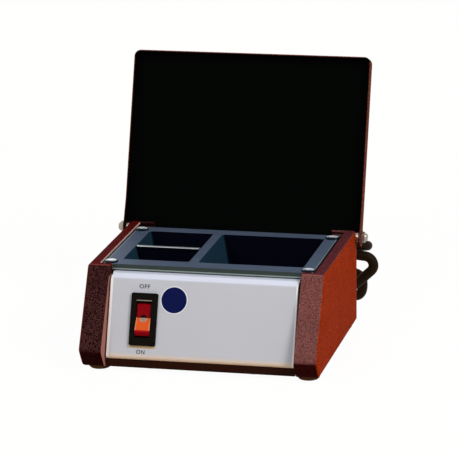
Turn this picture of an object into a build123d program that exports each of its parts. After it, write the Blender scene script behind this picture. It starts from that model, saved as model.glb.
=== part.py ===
from build123d import *
import math
import os

# Three-well wax heater: two folded side cheeks carry a sloping front panel, a cast
# tray with tapered wells, a base and a rear panel. A folded lid turns on two studs.
# X runs to the right, Y to the back, Z up. The feet stand on z = 0, and the origin is
# midway between the cheeks' front bend and the back of the opened lid.

# ---------------------------------------------------------------- driving dimensions
# Body
body_width = 140.0
cheek_top = 59.2
foot_height = 3.0
foot_diameter = 12.6
foot_ease = 0.7
sheet = 1.2
bend = 2.0
front_to_pivot = 124.0
pivot_drop = 3.5
pivot_to_back = 3.0
front_lean = 29.6
chamfer_height = 11.0
chamfer_run = 7.6
front_flange = 13.6
top_flange = 6.5
back_flange = 15.0
flange_strip = 3.2
knee_radius = 4.0

# Front panel
panel_side_gap = 1.0
panel_bottom = 7.8
panel_lean = 20.0
panel_face = 46.6
panel_setback = 7.1
bevel_length = 4.6
bevel_lean = 52.0
panel_return = 10.0
panel_flange = 8.0
panel_corner = 2.5
lip_depth = 6.0

# Tray and wells
deck_side_gap = 0.5
deck_drop = 0.7
deck_thickness = 3.2
deck_front_gap = 1.6
deck_back = 32.8
well_depth = 32.0
well_wall = 2.0
well_draft = 11.0
well_corner = 2.0
well_floor_radius = 3.0
well_front = -40.0
well_floor_spread = 2.0
well_back = 24.7
small_well_inset = 10.0
small_well_right = -13.5
large_well_left = -8.2
large_well_inset = 8.7
divider_y = -9.4
divider_sheet = 1.2
divider_bead = 2.8
divider_bead_depth = 1.6
divider_play = 0.3

# Lid
lid_sheet = 1.0
lid_bend = 2.0
lid_corner = 4.0
lid_length = 108.3
lid_clear = 0.2
lid_stop_gap = 0.3
lid_flange = 8.0
lid_side_gap = 2.2
lid_lean = 18.95
ear_radius = 5.8
ear_run = 16.0

# Lid pivots
stud_radius = 1.5
collar_radius = 3.0
shoulder_radius = 2.5
running_clearance = 0.05
cap_nut_radius = 3.4
cap_nut_height = 3.4

# Switch
switch_x = -34.4
switch_s = 24.05
bezel_width = 15.6
bezel_length = 30.5
bezel_proud = 2.0
rocker_slot_width = 9.0
rocker_slot_length = 21.0
housing_width = 13.2
housing_length = 27.8
housing_depth = 16.5
rocker_gap = 0.2
rocker_half_length = 10.0
rocker_crest = 8.2
rocker_dish = 0.9
rocker_angle = 9.5
rocker_pivot_depth = 2.0
rocker_body_depth = 6.0
trunnion_radius = 1.2
trunnion_length = 1.4
lens_radius = 1.1
blade_width = 4.8
blade_thickness = 0.8
blade_length = 6.0
blade_pitch = 9.0
sleeve_width = 6.4
sleeve_thickness = 2.6
sleeve_length = 6.4
sleeve_bite = 5.0

# Heater pack under the wells
element_thickness = 2.5
element_margin = 5.0
element_rim = 1.0
clamp_thickness = 2.0
pack_stud_radius = 2.0
pack_boss_radius = 4.2
pack_stud_reach = 10.0
pack_web = 5.0
pack_stud_spacing = 34.0
pack_stud_tail = 5.0
pack_nut_height = 3.2
pack_nut_corner = 4.0
blanket_thickness = 6.0
shield_foot = 8.0
shield_screw_inset = 3.6
element_tab_x = [-4.0, 6.0]
element_tab_reach = 7.0
thermostat_x = 22.0
thermostat_y = -8.0
thermostat_radius = 8.0
thermostat_height = 11.0
thermostat_ear = 12.0
tab_reach = 5.4

# Rear panel, terminals and gland
rear_panel_bottom = 5.4
rear_panel_inset = 4.0
rear_shelf_gap = 5.0
gland_side_gap = 9.0
gland_z = 44.0
gland_bore_radius = 5.0
gland_flange_radius = 7.6
gland_flange = 2.2
boot_length = 20.0
boot_tip_radius = 4.2
lead_diameter = 6.2
core_radius = 1.1
core_spacing = 2.6
inner_lead_radius = 0.9
block_x = 14.0
block_y = 28.0
block_width = 30.0
block_depth = 14.0
block_height = 13.0
block_bore_height = 5.0
block_screw_offset = 3.6
block_screw_tail = 6.0
earth_x = 44.0
earth_y = 28.0
earth_tongue = 9.0
gland_tail = 2.4

# Base, vents and sheet screws
base_skirt_run = 8.0
base_upturn_gap = 3.0
base_vent_length = 22.0
base_vent_width = 3.0
base_vent_x = 22.0
base_vent_start = 21.0
base_vent_pitch = 7.0
base_vent_rows = 4
rear_vent_length = 18.0
rear_vent_width = 2.6
rear_vent_x = -34.0
rear_vent_spacing = 26.0
rear_vent_columns = 3
rear_vent_rise = 20.0
rear_vent_pitch = 6.0
rear_vent_rows = 3
base_screw_inset = 4.5
base_screw_front = 36.0
base_screw_back = 28.0
shield_screw_pitch = 30.0

# Screws
tray_screw_head = 8.0
tray_screw_rise = 1.2
tray_screw_shank = 4.0
tray_screw_tail = 6.0
tray_screw_inset_side = 4.6
tray_screw_inset_front = 4.6
tray_screw_inset_back = 6.8
small_screw_head = 5.6
small_screw_rise = 1.8
small_screw_shank = 3.0

# Mains lead: its put-away coil lies behind the body, with the plug behind the coil
coil_x = -6.0
coil_y = 100.0
coil_pitch = 6.8
coil_outer = 44.0
coil_turns_in = 3
coil_turns_out = 2.5
coil_start_angle = 30.0
tie_x = 57.0
tie_width = 3.5
tie_thickness = 0.9
tie_spare = 0.45
plug_tilt = 16.0
plug_radius = 18.5
plug_boot = 14.0
plug_grip = 22.0
plug_face = 12.0
plug_grip_radius = 12.5
pin_radius = 2.4
pin_length = 19.0
pin_spacing = 19.0

# ---------------------------------------------------------------- derived places
half_width = body_width / 2
panel_half_width = half_width - front_flange - panel_side_gap
deck_half_width = half_width - top_flange - deck_side_gap
small_well_left = small_well_inset - deck_half_width
large_well_right = deck_half_width - large_well_inset
tray_screw_x = deck_half_width - tray_screw_inset_side
rear_panel_half_width = half_width - rear_panel_inset
rear_shelf_half_width = half_width - back_flange - rear_shelf_gap
gland_x = half_width - back_flange - gland_side_gap
pivot_height = cheek_top - pivot_drop
deck_top = cheek_top - deck_drop
lean = math.radians(lid_lean)
lid_offset = pivot_drop - deck_drop + tray_screw_rise + lid_clear + lid_sheet
lid_tail = (
    (lid_offset - lid_sheet) * math.cos(lean) - pivot_to_back - lid_stop_gap
) / math.sin(lean)
lid_reach = (
    (lid_offset - lid_bend) * math.cos(lean)
    + (lid_length - lid_bend) * math.sin(lean)
    + lid_bend
)
pivot_y = (front_to_pivot - lid_reach) / 2
front_y = pivot_y - front_to_pivot
back_y = pivot_y + pivot_to_back
pivot = (0, pivot_y, pivot_height)

knee_z = foot_height + chamfer_height
shoulder_y = front_y + (cheek_top - knee_z) * math.tan(math.radians(front_lean))
deck_front = shoulder_y + flange_strip + deck_front_gap
deck_bottom = deck_top - deck_thickness
well_bottom = deck_top - well_depth - well_wall
base_bottom = foot_height + sheet
base_top = base_bottom + sheet
block_bore_z = base_top + block_bore_height
inside_x = half_width - sheet

panel_y = front_y + panel_setback
slope = math.radians(panel_lean)
panel_plane = Plane(
    origin=(0, panel_y, panel_bottom),
    x_dir=(1, 0, 0),
    z_dir=(0, -math.cos(slope), math.sin(slope)),
)
switch_plane = panel_plane * Pos(switch_x, switch_s, 0)

clamp_top = well_bottom - element_thickness
clamp_bottom = clamp_top - clamp_thickness
shield_top = clamp_bottom - blanket_thickness
pack_x = (small_well_right + large_well_left) / 2
pack_centre = (small_well_left + large_well_right) / 2
pack_y = (well_front + well_back) / 2
shrink = well_depth * math.tan(math.radians(well_draft))
element_inset = shrink + element_rim
rear_outer = back_y - sheet
rear_inner = rear_outer - sheet
lead_radius = lead_diameter / 2
boot_end = rear_outer + boot_length

nodes = {}


# ---------------------------------------------------------------- shared forms
def side_face(points, radii=None):
    """Closed face in the Y-Z plane, with a corner radius for each point."""
    face = make_face(Polyline(*points, close=True))
    for point, radius in zip(points, radii or []):
        if radius:
            corner = face.vertices().sort_by_distance(Vector(point[0], point[1], 0))[0]
            face = fillet(corner, radius)
    return face


def across(face, x0, x1):
    """Extrude a (y, z) face from x0 to x1."""
    return Pos(x0, 0, 0) * extrude(Plane.YZ * face, amount=x1 - x0)


def bent_section(points, radius, thickness, side):
    """Closed section of a bent sheet whose outer skin follows the points."""
    path = FilletPolyline(*points, radius=radius)
    return make_face(offset(path, amount=thickness, side=side, closed=True))


def block(x0, x1, y0, y1, z0, z1):
    """Box between two corners."""
    return Pos((x0 + x1) / 2, (y0 + y1) / 2, (z0 + z1) / 2) * Box(x1 - x0, y1 - y0, z1 - z0)


def rod(radius, z0, z1):
    """Upright cylinder between two heights."""
    return Pos(0, 0, z0) * Cylinder(radius, z1 - z0, align=(Align.CENTER, Align.CENTER, Align.MIN))


def turned(points):
    """Solid turned about Z from (radius, height) points."""
    return revolve(Plane.XZ * make_face(Polyline(*points, close=True)), Axis.Z)


def crowned_screw(length):
    """Tray screw with a low crowned head above z = 0 and its shank below."""
    rim = tray_screw_head / 2
    shank = tray_screw_shank / 2
    rise = tray_screw_rise
    points = [
        (0, -length),
        (shank, -length),
        (shank, 0),
        (rim, 0),
        (rim, rise * 0.35),
        (rim * 0.82, rise * 0.8),
        (rim * 0.5, rise),
        (0, rise),
    ]
    return turned(points)


def plain_screw(length, rise=small_screw_rise):
    """Small screw with a tapered flat head above z = 0, for hidden joints."""
    rim = small_screw_head / 2
    shank = small_screw_shank / 2
    points = [(0, -length), (shank, -length), (shank, 0), (rim, 0), (rim * 0.8, rise), (0, rise)]
    return turned(points)


def group(shapes):
    """Several separate solids kept as one node."""
    return Compound(children=[solid for shape in shapes for solid in shape.solids()])


def both_sides(shape):
    """The shape and its mirror image across the middle plane."""
    return [shape, mirror(shape, about=Plane.YZ)]


def tube(points, radius):
    """Round lead on straight runs joined by arcs as large as the runs allow."""
    spots = [Vector(*point) for point in points]
    runs = [(b - a).length for a, b in zip(spots, spots[1:])]
    radii = []
    for before, here, after, run, next_run in zip(
        spots, spots[1:], spots[2:], runs, runs[1:]
    ):
        turn = (here - before).get_angle(after - here)
        radii.append(0.45 * min(run, next_run) / math.tan(math.radians(turn / 2)))
    path = FilletPolyline(*spots, radius=radii)
    section = Plane(origin=spots[0], z_dir=spots[1] - spots[0]) * Circle(radius)
    return sweep(section, path=path), path, radii


# ---------------------------------------------------------------- side cheeks
def cheek():
    """Right cheek: a pan open to the inside, with flanges of three widths."""
    outline = [
        (front_y + chamfer_run, foot_height),
        (front_y, knee_z),
        (shoulder_y, cheek_top),
        (back_y, cheek_top),
        (back_y, foot_height),
    ]
    face = side_face(outline, [knee_radius, knee_radius, bend, pivot_to_back, bend])
    inner = offset(face, amount=-sheet)
    pan = across(face, half_width - back_flange, half_width)
    rim = pan.faces().sort_by(Axis.X)[-1].edges()
    pan = fillet(rim, bend)
    pan -= across(inner, half_width - back_flange - 1, inside_x)

    # the flanges narrow to their own widths
    wide = half_width - back_flange
    pan -= block(
        wide - 1,
        half_width - front_flange,
        front_y - 1,
        back_y - bend - sheet,
        0,
        cheek_top + 1,
    )
    pan -= block(
        wide - 1,
        half_width - top_flange,
        shoulder_y + flange_strip,
        back_y - bend - sheet / 2,
        cheek_top - sheet - bend,
        cheek_top + 1,
    )

    # a lip runs back from the front flange, past the panel
    far = panel_face + bevel_length * 3
    lip_back = [
        (panel_y - 30, panel_bottom - 20),
        (panel_y + lip_depth, panel_bottom - 20),
        (panel_y + lip_depth, panel_bottom),
        (panel_y + lip_depth + far * math.sin(slope), panel_bottom + far * math.cos(slope)),
        (panel_y - 30, panel_bottom + far * math.cos(slope)),
    ]
    lip_x = half_width - front_flange
    lip = across(face, lip_x, lip_x + sheet) & across(side_face(lip_back), lip_x, lip_x + sheet)
    lip -= block(
        lip_x - 1,
        lip_x + sheet + 1,
        deck_front - 0.6,
        back_y,
        deck_bottom - 0.6,
        cheek_top + 1,
    )
    pan += lip

    # shelves under the tray's corners, tapped for its screws
    shelf_in = large_well_right + well_wall - 0.4
    for y in tray_screw_rows():
        pan += block(shelf_in, inside_x + sheet / 2, y - 6, y + 6, deck_bottom - sheet, deck_bottom)
        pan -= Pos(tray_screw_x, y, 0) * rod(tray_screw_shank / 2, deck_bottom - 3, deck_bottom + 1)

    # holes: lid stud, feet, base screws, rear panel screws
    pan -= Pos(inside_x - 1, pivot_y, pivot_height) * Rot(0, 90, 0) * rod(stud_radius, 0, sheet + 2)
    for x, y in foot_places():
        pan -= Pos(x, y, 0) * rod(small_screw_shank / 2, foot_height - 1, base_top)
    for x, y in base_screw_places():
        pan -= Pos(x, y, 0) * rod(small_screw_shank / 2, foot_height - 1, base_top)
    for x, z in rear_screw_places():
        pan -= Pos(x, back_y + 1, z) * Rot(90, 0, 0) * rod(small_screw_shank / 2, 0, sheet + 2)
    return pan


def tray_screw_rows():
    """Y of the front and back rows of tray screws."""
    return [deck_front + tray_screw_inset_front, deck_back - tray_screw_inset_back]


def foot_places():
    """Foot centres under the right cheek."""
    x = half_width - bend - foot_diameter / 2
    return [
        (x, front_y + chamfer_run + knee_radius + foot_diameter / 2),
        (x, back_y - bend - foot_diameter / 2),
    ]


def base_screw_places():
    """Screws that hold the base to the right cheek's bottom flange."""
    x = half_width - front_flange + base_screw_inset
    return [(x, front_y + base_screw_front), (x, back_y - base_screw_back)]


def rear_screw_places():
    """Screws through the right cheek's back flange into the rear panel."""
    x = half_width - back_flange / 2 - 1
    return [(x, base_top + 8), (x, pivot_height - 16)]


nodes["right_cheek"] = cheek()
nodes["left_cheek"] = mirror(nodes["right_cheek"], about=Plane.YZ)


# ---------------------------------------------------------------- feet
def feet():
    """Four round rubber feet, eased at the rim, with a screw recess."""
    rim = foot_diameter / 2
    recess = small_screw_head / 2 + 0.2
    bore = small_screw_shank / 2
    foot = turned([
        (bore, small_screw_rise),
        (recess, small_screw_rise),
        (recess, 0),
        (rim - foot_ease, 0),
        (rim, foot_ease),
        (rim, foot_height),
        (bore, foot_height),
    ])
    return [shape for x, y in foot_places() for shape in both_sides(Pos(x, y, 0) * foot)]


def foot_screws():
    """Screws up through the feet, cheeks and base."""
    screw = Pos(0, 0, small_screw_rise) * Rot(180, 0, 0) * plain_screw(
        foot_height + 3, small_screw_rise - 0.4
    )
    return [shape for x, y in foot_places() for shape in both_sides(Pos(x, y, 0) * screw)]


nodes["rubber_feet"] = group(feet())
nodes["foot_screws"] = group(foot_screws())


# ---------------------------------------------------------------- front panel
def front_panel():
    """Sloping sheet with a bevelled top edge, bent back at top, bottom and sides."""
    bevel = math.radians(bevel_lean)
    top_s = (panel_y + panel_face * math.sin(slope), panel_bottom + panel_face * math.cos(slope))
    bevel_end = (
        top_s[0] + bevel_length * math.sin(bevel),
        top_s[1] + bevel_length * math.cos(bevel),
    )
    skin = [
        (panel_y + panel_return, panel_bottom),
        (panel_y, panel_bottom),
        top_s,
        bevel_end,
        (bevel_end[0] + panel_return * 0.6, bevel_end[1]),
    ]
    section = bent_section(skin, bend, sheet, Side.RIGHT)
    panel = across(section, -panel_half_width, panel_half_width)

    # rounded top corners, seen square to the panel
    reach = panel_face + bevel_length + panel_return
    mask = extrude(
        panel_plane * Pos(0, reach / 2 - 5) * Rectangle(2 * panel_half_width, reach + 10),
        amount=30,
        both=True,
    )
    top_edge = panel_face + bevel_length * math.cos(bevel - slope)
    for side in (-1, 1):
        notch = panel_plane * Pos(side * panel_half_width, top_edge, 0) * (
            Box(2 * panel_corner, 2 * panel_corner, 8)
            - Pos(-side * panel_corner, -panel_corner, 0) * Cylinder(panel_corner, 8)
        )
        panel -= notch
    panel &= mask

    # side flanges bent back beside the cheeks' lips
    for side in (-1, 1):
        x = side * (panel_half_width - sheet / 2)
        panel += panel_plane * Pos(x, panel_face / 2, -panel_flange / 2) * Box(
            sheet, panel_face - 2 * bend - 2, panel_flange
        )
    panel -= switch_plane * Box(housing_width + 0.2, housing_length + 0.2, 4 * sheet)
    for x, y in panel_screw_places():
        panel -= Pos(x, y, 0) * rod(small_screw_shank / 2, panel_bottom - 1, panel_bottom + sheet + 1)
    return panel


def panel_screw_places():
    """Screws up through the base into the panel's bottom return."""
    y = panel_y + panel_return * 0.55
    return [(-30, y), (30, y)]


nodes["front_panel"] = front_panel()


# ---------------------------------------------------------------- base plate
def base_plate():
    """Flat base on the cheeks' bottom flanges, with a front skirt and vent slots."""
    front = panel_y + 1.5
    back = front + base_skirt_run
    plate = block(-inside_x + 3, inside_x - 3, back, rear_inner, base_bottom, base_top)
    neck = half_width - front_flange - 0.8
    plate += block(-neck, neck, front, back + 1, base_bottom, base_top)
    plate += block(-neck, neck, front, front + sheet, foot_height + 0.3, panel_bottom)
    upturn = half_width - back_flange - base_upturn_gap
    plate += block(-upturn, upturn, rear_inner - sheet, rear_inner, base_bottom, base_top + 9)
    for x, y in panel_screw_places():
        plate += block(x - 5, x + 5, y - 3.5, y + 3.5, base_top - 0.2, panel_bottom)
        plate -= Pos(x, y, 0) * rod(small_screw_shank / 2, base_bottom - 1, panel_bottom + 1)
    for x, y in foot_places() + base_screw_places():
        hole = Pos(x, y, 0) * rod(small_screw_shank / 2, base_bottom - 1, base_top + 1)
        plate -= hole
        plate -= mirror(hole, about=Plane.YZ)
    slot = extrude(Rectangle(base_vent_length, base_vent_width), amount=sheet + 2)
    for x in (-base_vent_x, base_vent_x):
        for row in range(base_vent_rows):
            y = front + base_vent_start + row * base_vent_pitch
            plate -= Pos(x, y, base_bottom - 1) * slot
    for x in shield_screw_x():
        for y in shield_screw_y():
            plate -= Pos(x, y, 0) * rod(small_screw_shank / 2, base_bottom - 1, base_top + 1)
    for x in block_screw_x():
        plate -= Pos(x, block_y, 0) * rod(small_screw_shank / 2, base_bottom - 1, base_top + 1)
    plate -= Pos(earth_x, earth_y, 0) * rod(tray_screw_shank / 2, base_bottom - 1, base_top + 1)
    return plate


def shield_screw_x():
    """X of the heat shield's foot screws."""
    x = shield_half_width() + shield_foot - shield_screw_inset
    return [pack_centre - x, pack_centre + x]


def shield_screw_y():
    """Y of the heat shield's foot screws."""
    return [pack_y - shield_screw_pitch / 2, pack_y + shield_screw_pitch / 2]


def shield_half_width():
    """Half the span between the heat shield's legs."""
    return (large_well_right - small_well_left) / 2 - element_margin


def block_screw_x():
    """X of the terminal block's fixing screws, between its three ways."""
    return [block_x - block_width / 6, block_x + block_width / 6]


nodes["base_plate"] = base_plate()


# ---------------------------------------------------------------- rear panel
def rear_panel():
    """Rear sheet behind the cheeks' back flanges, with a shelf under the tray."""
    panel = block(
        -rear_panel_half_width,
        rear_panel_half_width,
        rear_inner,
        rear_outer,
        rear_panel_bottom,
        pivot_height - 8,
    )
    shelf = [
        (rear_outer, pivot_height - 12),
        (rear_outer, deck_bottom),
        (deck_back - 3, deck_bottom),
    ]
    section = bent_section(shelf, bend, sheet, Side.LEFT)
    panel += across(section, -rear_shelf_half_width, rear_shelf_half_width)
    panel -= Pos(gland_x, rear_outer + 1, gland_z) * Rot(90, 0, 0) * rod(gland_bore_radius, 0, sheet + 2)
    for x, z in rear_screw_places():
        hole = Pos(x, rear_outer + 1, z) * Rot(90, 0, 0) * rod(small_screw_shank / 2, 0, sheet + 2)
        panel -= hole
        panel -= mirror(hole, about=Plane.YZ)
    vent = extrude(Plane.XZ * Rectangle(rear_vent_length, rear_vent_width), amount=-sheet - 2)
    for column in range(rear_vent_columns):
        x = rear_vent_x + column * rear_vent_spacing
        for row in range(rear_vent_rows):
            z = base_top + rear_vent_rise + row * rear_vent_pitch
            panel -= Pos(x, rear_inner - 1, z) * vent
    return panel


nodes["rear_panel"] = rear_panel()


# ---------------------------------------------------------------- tray with wells
def well_solid(x0, x1, grow, bottom):
    """Tapered well body from the deck top down, grown outward by a wall."""
    drawn_in = (deck_top - bottom) * math.tan(math.radians(well_draft))
    width = x1 - x0 + 2 * grow
    length = well_back - well_front + 2 * grow
    middle = Pos((x0 + x1) / 2, (well_front + well_back) / 2)
    mouth = RectangleRounded(width, length, well_corner + grow)
    floor = RectangleRounded(
        width - 2 * drawn_in, length - 2 * drawn_in, well_corner + grow + well_floor_spread
    )
    return loft([middle * Pos(0, 0, bottom) * floor, middle * Pos(0, 0, deck_top) * mouth])


def well_tray():
    """Cast deck with two tapered wells and webs between them for the pack's studs."""
    length = deck_back - deck_front
    deck = Pos(0, (deck_front + deck_back) / 2, deck_bottom) * extrude(
        RectangleRounded(2 * deck_half_width, length, 1.5), amount=deck_thickness
    )
    wells = [(small_well_left, small_well_right), (large_well_left, large_well_right)]
    tray = deck
    for x0, x1 in wells:
        tray += well_solid(x0, x1, well_wall, well_bottom)
    web = (large_well_left - small_well_right) / 2 + pack_web
    for y in pack_stud_y():
        tray += block(
            pack_x - web,
            pack_x + web,
            y - pack_boss_radius,
            y + pack_boss_radius,
            well_bottom,
            deck_bottom + 1,
        )
    for x0, x1 in wells:
        cavity = well_solid(x0, x1, 0, well_bottom + well_wall)
        floor = cavity.faces().sort_by(Axis.Z)[0].edges()
        tray -= fillet(floor, well_floor_radius)
    for y in pack_stud_y():
        tray -= Pos(pack_x, y, 0) * rod(
            pack_stud_radius, well_bottom - 1, well_bottom + pack_stud_reach
        )
    for y in tray_screw_rows():
        for x in (-tray_screw_x, tray_screw_x):
            tray -= Pos(x, y, 0) * rod(tray_screw_shank / 2 + 0.2, deck_bottom - 1, deck_top + 1)
    return tray


def pack_stud_y():
    """Y of the two studs that clamp the heater pack."""
    return [pack_y - pack_stud_spacing / 2, pack_y + pack_stud_spacing / 2]


nodes["well_tray"] = well_tray()

tray_screw = crowned_screw(deck_thickness + tray_screw_tail)
nodes["tray_screws"] = group(
    shape
    for y in tray_screw_rows()
    for shape in both_sides(Pos(tray_screw_x, y, deck_top) * tray_screw)
)


# ---------------------------------------------------------------- divider plate
def divider_plate():
    """Removable plate across the small well, tapered like it, with a beaded top edge."""
    taper = math.tan(math.radians(well_draft))
    play = divider_play / math.cos(math.radians(well_draft))
    bottom = well_bottom + well_wall + well_floor_radius
    drop = deck_top - bottom
    left = small_well_left + play
    right = small_well_right - play
    outline = [
        (left, deck_top),
        (right, deck_top),
        (right - drop * taper, bottom),
        (right - drop * taper - well_floor_radius, well_bottom + well_wall + 0.3),
        (left + drop * taper + well_floor_radius, well_bottom + well_wall + 0.3),
        (left + drop * taper, bottom),
    ]
    face = make_face(Polyline(*outline, close=True))
    plate = extrude(Plane.XZ * face, amount=divider_sheet / 2, both=True)
    bead = block(
        left + divider_sheet / 2,
        right - divider_sheet / 2,
        -divider_bead / 2,
        divider_bead / 2,
        deck_top - divider_bead_depth,
        deck_top,
    )
    bead = fillet(bead.edges().filter_by(Axis.X), 0.5)
    return Pos(0, divider_y, 0) * (plate + bead)


nodes["divider_plate"] = divider_plate()


# ---------------------------------------------------------------- lid
def lid():
    """Shallow folded pan with an ear at each side, modelled shut and then opened."""
    half = half_width + lid_side_gap + lid_sheet
    top = lid_offset
    pan = block(-half, half, -lid_length, lid_tail, top - lid_flange, top)
    corners = pan.edges().filter_by(Axis.Z).group_by(Axis.Y)[0]
    pan = fillet(corners, lid_corner)
    rim = [
        edge
        for edge in pan.faces().sort_by(Axis.Z)[-1].edges()
        if edge.center().Y < lid_tail - 0.01
    ]
    pan = fillet(rim, lid_bend)
    hollow = block(
        -half + lid_sheet,
        half - lid_sheet,
        -lid_length + lid_sheet,
        lid_tail + 1,
        top - lid_flange - 1,
        top - lid_sheet,
    )
    corners = hollow.edges().filter_by(Axis.Z).group_by(Axis.Y)[0]
    hollow = fillet(corners, lid_corner - lid_sheet)
    rim = [
        edge
        for edge in hollow.faces().sort_by(Axis.Z)[-1].edges()
        if edge.center().Y < lid_tail + 0.9
    ]
    hollow = fillet(rim, lid_bend - lid_sheet)
    pan -= hollow

    # ears round the pivots
    flange_bottom = top - lid_flange
    ear = Circle(ear_radius) + make_face(
        Polyline(
            (-ear_radius - ear_run, flange_bottom + 0.5),
            (-ear_radius * 0.58, -ear_radius * 0.8),
            (ear_radius * 0.95, -ear_radius * 0.2),
            (lid_tail, top - lid_bend),
            (-ear_radius - ear_run, top - lid_bend),
            close=True,
        )
    )
    ear -= Circle(shoulder_radius + running_clearance)
    for side in (-1, 1):
        x = side * (half - lid_sheet / 2)
        pan += across(ear, x - lid_sheet / 2, x + lid_sheet / 2)
        pan -= Pos(x, 0, 0) * Rot(0, 90, 0) * Cylinder(shoulder_radius + running_clearance, 4)
    return Pos(*pivot) * Rot(-(90 + lid_lean), 0, 0) * pan


nodes["lid"] = lid()


def pivot_stud():
    """Shouldered stud pressed into the right cheek: collar, journal and thread."""
    collar_end = half_width + lid_side_gap
    journal_end = collar_end + lid_sheet + 0.3
    thread_end = journal_end + cap_nut_height - 0.8
    points = [
        (0, inside_x),
        (stud_radius, inside_x),
        (stud_radius, half_width),
        (collar_radius, half_width),
        (collar_radius, collar_end - 0.1),
        (shoulder_radius, collar_end - 0.1),
        (shoulder_radius, journal_end),
        (stud_radius, journal_end),
        (stud_radius, thread_end),
        (0, thread_end),
    ]
    return Pos(0, pivot_y, pivot_height) * Rot(0, 90, 0) * turned(points)


def cap_nut():
    """Domed hexagon nut on the stud's outer end."""
    start = half_width + lid_side_gap + lid_sheet + 0.3
    hexagon = extrude(RegularPolygon(cap_nut_radius, 6), amount=cap_nut_height * 0.55)
    dome = Pos(0, 0, cap_nut_height * 0.45) * rod(cap_nut_radius * 0.78, 0, cap_nut_height * 0.6)
    dome = fillet(dome.edges().sort_by(Axis.Z)[-1], cap_nut_height * 0.5)
    nut = hexagon + dome - rod(stud_radius, -1, cap_nut_height - 0.8)
    return Pos(start, pivot_y, pivot_height) * Rot(0, 90, 0) * nut


nodes["pivot_studs"] = group(both_sides(pivot_stud()))
nodes["pivot_cap_nuts"] = group(both_sides(cap_nut()))


# ---------------------------------------------------------------- rocker switch
def switch_housing():
    """Bezel and body of the rocker switch, in panel coordinates."""
    bezel = Pos(0, 0, bezel_proud / 2) * Box(bezel_width, bezel_length, bezel_proud)
    bezel = fillet(bezel.edges().filter_by(Axis.Z), 1.0)
    bezel = fillet(bezel.faces().sort_by(Axis.Z)[-1].edges(), 0.8)
    body = Pos(0, 0, -housing_depth / 2) * Box(housing_width, housing_length, housing_depth)
    body = chamfer(body.faces().sort_by(Axis.Z)[0].edges(), 0.8)
    cavity_depth = rocker_body_depth + rocker_pivot_depth + 2.5
    cavity = Pos(0, 0, (bezel_proud - cavity_depth) / 2) * Box(
        rocker_slot_width, rocker_slot_length, bezel_proud + cavity_depth
    )
    housing = bezel + body - cavity
    journal = Pos(0, 0, -rocker_pivot_depth) * Rot(0, 90, 0) * Cylinder(
        trunnion_radius + running_clearance, rocker_slot_width + 2 * trunnion_length
    )
    housing -= journal
    for side in (-1, 1):
        barb = make_face(
            Polyline(
                (side * housing_length / 2 - side * 0.2, -sheet - 0.1),
                (side * (housing_length / 2 + 0.9), -sheet - 0.1),
                (side * housing_length / 2 - side * 0.2, -sheet - 6),
                close=True,
            )
        )
        housing += across(barb, -3, 3)
    return switch_plane * housing


def rocker():
    """Dished rocker with sloping noses, shown with its upper end pressed in."""
    crest = rocker_dish + rocker_crest * math.tan(math.radians(rocker_angle))
    skin = [
        (-rocker_half_length + 1.3, -rocker_body_depth + 1.5),
        (-rocker_half_length, -1.0),
        (-rocker_crest, crest),
        (0, rocker_dish),
        (rocker_crest, crest),
        (rocker_half_length, -1.0),
        (rocker_half_length - 1.3, -rocker_body_depth + 1.5),
        (0, -rocker_body_depth),
    ]
    face = side_face(skin, [0, 0.6, 0.6, 0, 0.6, 0.6, 0, 0])
    half = rocker_slot_width / 2 - rocker_gap
    body = across(face, -half, half)
    pins = Pos(0, 0, -rocker_pivot_depth) * Rot(0, 90, 0) * Cylinder(
        trunnion_radius, 2 * half + 2 * trunnion_length - 2 * rocker_gap
    )
    body += pins
    body -= rocker_seat()
    return body


def rocker_seat():
    """Shallow round seat for the lens at the middle of the rocker."""
    return Pos(0, 0, rocker_dish - 0.8) * rod(lens_radius, 0, 4)


def tip(shape):
    """Turn a rocker shape from level to its rest, about the trunnions."""
    down = Pos(0, 0, -rocker_pivot_depth)
    return switch_plane * (down * Rot(-rocker_angle, 0, 0) * Pos(0, 0, rocker_pivot_depth) * shape)


def switch_blades():
    """Three flat terminals in line behind the switch body."""
    blade = Pos(0, 0, -housing_depth - blade_length / 2) * Box(
        blade_width, blade_thickness, blade_length
    )
    return [switch_plane * Pos(0, s, 0) * blade for s in (-blade_pitch, 0, blade_pitch)]


nodes["switch_housing"] = switch_housing()
nodes["switch_rocker"] = tip(rocker())
nodes["rocker_lens"] = tip(
    Pos(0, 0, rocker_dish - 0.8) * fillet(rod(lens_radius, 0, 1.1).edges().sort_by(Axis.Z)[-1], 0.4)
)
nodes["switch_blades"] = group(switch_blades())


# ---------------------------------------------------------------- heater pack
def pack_rectangle(margin, corner):
    """Rounded footprint under both wells, less a margin."""
    width = large_well_right - small_well_left - 2 * margin
    length = well_back - well_front - 2 * margin
    return Pos(pack_centre, pack_y) * RectangleRounded(width, length, corner)


def pack_plate(margin, z0, z1, clearance):
    """Flat layer of the heater pack with holes for its studs."""
    layer = Pos(0, 0, z0) * extrude(pack_rectangle(margin, 4.0), amount=z1 - z0)
    for y in pack_stud_y():
        layer -= Pos(pack_x, y, 0) * rod(pack_stud_radius + clearance, z0 - 1, z1 + 1)
    return layer


def heating_element():
    """Mica heating plate with two terminal tabs at its back edge."""
    element = pack_plate(element_inset, clamp_top, well_bottom, 0.3)
    back = pack_y + (well_back - well_front) / 2 - element_inset
    low = clamp_top + blade_thickness
    for x in element_tab_x:
        element += block(
            x - blade_width / 2,
            x + blade_width / 2,
            back - 1,
            back + element_tab_reach,
            low,
            low + blade_thickness,
        )
    return element


def clamp_plate():
    """Stiff steel plate that presses the element to the wells."""
    plate = pack_plate(shrink + 2.5, clamp_bottom, clamp_top, 0.2)
    for x in (-thermostat_ear, thermostat_ear):
        hole = Pos(thermostat_x + x, thermostat_y, 0)
        plate -= hole * rod(small_screw_shank / 2, clamp_bottom - 1, clamp_top + 1)
    return plate


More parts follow.
